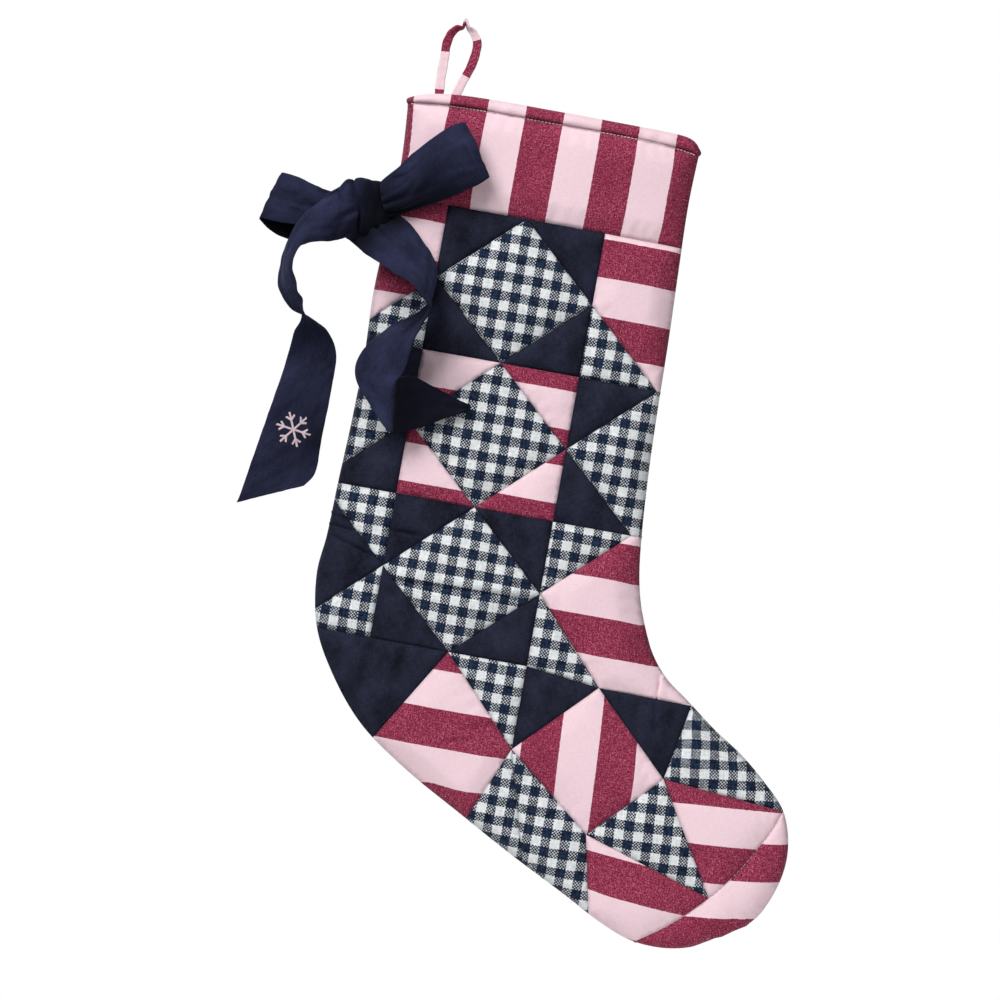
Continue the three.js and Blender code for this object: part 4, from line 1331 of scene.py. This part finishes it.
def add_snowflake(tail):
    """Satin stitches laid across the arms and feathers of a snowflake, on the front of the left tail."""
    rows = []
    flake = SNOWFLAKE
    for arm in range(6):
        turn = arm * math.pi / 3
        rows.append((0.0, flake["radius"], 0.0, turn))
        for side in (-1, 1):
            start = flake["radius"] * flake["feather_at"]
            rows.append((start, flake["radius"] * flake["feather_length"], side * math.pi / 4, turn))
    middles, across = [], []
    for start, length, feather, turn in rows:
        for run in np.arange(flake["pitch"], length, flake["pitch"]):
            x, z = start + run * math.cos(feather), run * math.sin(feather)
            angle = turn - flake["turn"]
            cos, sin = math.cos(angle), math.sin(angle)
            middles.append((x * cos - z * sin, x * sin + z * cos))
            across.append(feather + angle + flake["slant"])
    middles = np.array(middles) + flake["place"]
    normals = grid_normals(tail).reshape(-1, 3)
    points = tail.reshape(-1, 3)
    front = normals[:, 1] < 0
    normals = np.where(front[:, None], normals, -normals)
    tree = tree_of(points[:, [0, 2]])
    nearest = [[i for _, i, _ in tree.find_n((x, z, 0), 4)] for x, z in middles]
    depth = np.array([points[near, 1].mean() for near in nearest])
    out = unit(np.array([normals[near].mean(axis=0) for near in nearest]))
    centre = np.column_stack([middles[:, 0], depth, middles[:, 1]]) + out * (RIBBON_THICK / 2 + 0.15)
    along = square_to(np.column_stack([np.cos(across), np.zeros(len(across)), np.sin(across)]), out)
    points, faces, weave = stitch_mesh(centre, along, out, flake["width"], flake["thread_radius"])
    placed = (points + KNOT_CENTRE) * MM
    nodes = ["embroidered_snowflake"]
    make_piece("satin_snowflake", placed, faces, "thread", weave, nodes, body="tail_left")


# ---- The hanging loop: x, y, z of the strap's middle, and how far it has turned from facing the front
# (0) to edge-on (1).
STRAP = [
    (-14.6, 2.1, -43, 0),
    (-13.2, 2.1, -31, 0),
    (-10.8, 1.9, -17, 0),
    (-9.6, 1.4, -9.5, 0.15),
    (-6.6, 0.6, -3, 0.35),
    (-2.6, 0, 0.2, 0.6),
    (0.6, 0, 0.7, 0.9),
    (2.2, 0, 5.6, 1),
    (4.2, 0, 0.7, 0.8),
    (7.4, 0.4, -3, 0.35),
    (9.6, 1, -8.5, 0.3),
    (8.8, 1.6, -15, 0.15),
    (5.6, 2, -24, 0),
    (1.2, 2.1, -32, 0),
    (-5.4, 2.1, -44.5, 0),
]
STRAP_WIDTH = 6.1
STRAP_THICK = 1.6
STRAP_STEPS = 220
# Where the first pink stripe starts along the strap, and how much cloth is tucked in at the pinch,
# which is at station STRAP_PINCH.
STRAP_FIRST_PINK = 5.0
STRAP_TUCK = 7.0
STRAP_PINCH = 7


def strap_frames():
    """The strap's middle, and its directions across and out of its face, step by step."""
    shares = np.linspace(0, 1, STRAP_STEPS)
    stations = np.array(STRAP, float)
    middle = along_curve(stations[:, :3], shares)
    turn = np.interp(shares * (len(STRAP) - 1), np.arange(len(STRAP)), stations[:, 3]) * math.pi / 2
    along = unit(np.gradient(middle, axis=0))
    flat_across = unit(np.column_stack([along[:, 2], 0 * turn, -along[:, 0]]))
    across = flat_across * np.cos(turn)[:, None]
    across[:, 1] += np.sin(turn)
    across = square_to(across, along)
    return middle, across, np.cross(across, along)


def add_strap():
    """The folded strap: a flattened tube with a fold line and slightly pinched turns."""
    middle, across, out = strap_frames()
    around = np.linspace(0, 2 * math.pi, 28, endpoint=False)
    u = np.sign(np.cos(around)) * np.abs(np.cos(around)) ** 0.45
    w = np.sign(np.sin(around)) * np.abs(np.sin(around)) ** 0.7
    run = length_along(middle)
    pinch = 1 - 0.12 * (1 + ripples(np.column_stack([run, 0 * run, 0 * run]), 6, 1)) / 2
    points = (middle[:, None] + across[:, None] * (u[None] * STRAP_WIDTH / 2 * pinch[:, None])[..., None]
              + out[:, None] * (w * STRAP_THICK / 2)[None, :, None])
    groove = -0.28 * np.exp(-((u - 0.45) / 0.09) ** 2) * np.sign(w)
    points += out[:, None] * groove[None, :, None]
    lumps = 0.14 * ripples(points.reshape(-1, 3), 3.5, 6).reshape(len(middle), -1)
    points += out[:, None] * (lumps * np.sign(w))[..., None]
    rows, columns = points.shape[:2]
    quads, at = ring_faces(rows, columns)
    faces = quads.tolist() + [at[0, ::-1].tolist(), at[-1].tolist()]
    past_pinch = np.arange(len(run)) > STRAP_PINCH / (len(STRAP) - 1) * len(run)
    cut = run + STRAP_TUCK * past_pinch - STRAP_FIRST_PINK - STRIPE
    weave = np.stack(np.broadcast_arrays(cut[:, None], u * 2.75), axis=-1)
    placed = points.reshape(-1, 3) * MM
    nodes = ["hanging_loop"]
    make_piece("strap_loop", placed, faces, "stripe", weave.reshape(-1, 2), nodes, body="hanging_loop")


# ---- The room, the light and the camera.
def add_stage():
    """A pale floor below the toe."""
    mesh = bpy.data.meshes.new("floor")
    half, height = 0.6, -0.76
    around = ((-half, -half), (half, -half), (half, half), (-half, half))
    mesh.from_pydata([(x, y, height) for x, y in around], [], [(0, 1, 2, 3)])
    floor = placed_in_scene("floor", mesh)
    pale = bpy.data.materials.new("pale_floor")
    pale.use_nodes = True
    shader = pale.node_tree.nodes["Principled BSDF"]
    shader.inputs["Base Color"].default_value = (0.86, 0.86, 0.86, 1)
    shader.inputs["Roughness"].default_value = 0.9
    mesh.materials.append(pale)


LIT_POINT = Vector((0.02, 0, -0.3))


def add_light(name, place, size, power):
    """A round soft light at a place, turned to the middle of the stocking."""
    light = bpy.data.lights.new(name, "AREA")
    light.shape = "DISK"
    light.size = size
    light.energy = power
    holder = placed_in_scene(name, light)
    holder.location = place
    holder.rotation_mode = "QUATERNION"
    holder.rotation_quaternion = (LIT_POINT - Vector(place)).to_track_quat("-Z", "Y")


def add_sky():
    """White to the camera, and a softer even light on the object."""
    world = bpy.data.worlds.new("studio")
    world.use_nodes = True
    nodes, links = world.node_tree.nodes, world.node_tree.links
    seen, path, mix = (nodes.new(kind) for kind in (
        "ShaderNodeBackground", "ShaderNodeLightPath", "ShaderNodeMixShader"))
    light = nodes["Background"]
    light.inputs["Color"].default_value = (0.93, 0.96, 1, 1)
    light.inputs["Strength"].default_value = 0.18
    seen.inputs["Color"].default_value = (1, 1, 1, 1)
    links.new(path.outputs["Is Camera Ray"], mix.inputs[0])
    links.new(light.outputs[0], mix.inputs[1])
    links.new(seen.outputs[0], mix.inputs[2])
    links.new(mix.outputs[0], nodes["World Output"].inputs["Surface"])
    bpy.context.scene.world = world


def add_camera():
    """Straight on to the front, framed as in a flat product picture 0.63 m wide."""
    view_width, distance = 0.630, 2.5
    centre = Vector((0.024, 0, -0.297))
    camera = bpy.data.cameras.new("camera")
    camera.sensor_width = 36
    camera.lens = camera.sensor_width * distance / view_width
    holder = placed_in_scene("camera", camera)
    holder.location = centre + Vector((0, -distance, 0))
    holder.rotation_euler = (math.pi / 2, 0, 0)
    bpy.context.scene.camera = holder


# ---- Putting it together.
front_flat, front_points = add_side(-1, front_patches(), "cuff_band_front",
                                    lambda name: ["cuff_front"] if name == "cuff" else [f"patch_{name}"])
BACK = {"back": ("navy", BELOW_CUFF), "cuff": ("stripe", CUFF_BAND)}
back_flat, back_points = add_side(1, BACK, "cuff_band_back",
                                  lambda name: ["cuff_back"] if name == "cuff" else ["back_panel"])
for side, name in ((-1, "front"), (1, "back")):
    add_lining(side, f"lining_{name}", f"{name}_lining")
    add_wadding(side, f"wadding_{name}", f"{name}_batting")
front_depth = surface_lookup(front_points, front_flat)
add_hem_stitches(front_depth, surface_lookup(back_points, back_flat))
add_cap_stitches(front_depth)

add_knot()
# Each loop's `deep` table is painted shade.
for loop_name, (stations, seed, pleats, deep, folds) in LOOPS.items():
    add_ribbon(loop_name, stations, "bow", f"bow_{loop_name}", seed, pleats, deep, folds, looped=True)
left_tail, tail_grid = add_ribbon("tail_left_ribbon", TAIL_LEFT, None, "bow_tail_left", 3, 1.5,
                                  TAIL_LEFT_PAINTED_SHADE, TAIL_LEFT_FOLDS)
right_tail, _ = add_ribbon("tail_right_ribbon", TAIL_RIGHT, None, "bow_tail_right", 4, 2.0,
                           TAIL_RIGHT_PAINTED_SHADE, TAIL_RIGHT_FOLDS)
for tail, body, start, end in ((left_tail, "tail_left", (-12, 0, 0), (-40, 0, -30)),
                               (right_tail, "tail_right", (6, 0, -10), (34, 0, -38))):
    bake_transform(tail)
add_snowflake(tail_grid)
add_strap()

add_stage()
add_light("key", (-1.1, -1.9, 1.5), 1.8, 75)
add_light("fill", (1.7, -1.7, 0.3), 1.6, 15)
add_light("behind", (-0.8, 2.3, 1.2), 1.8, 50)
add_sky()
add_camera()
bpy.context.scene.view_settings.view_transform = "Standard"
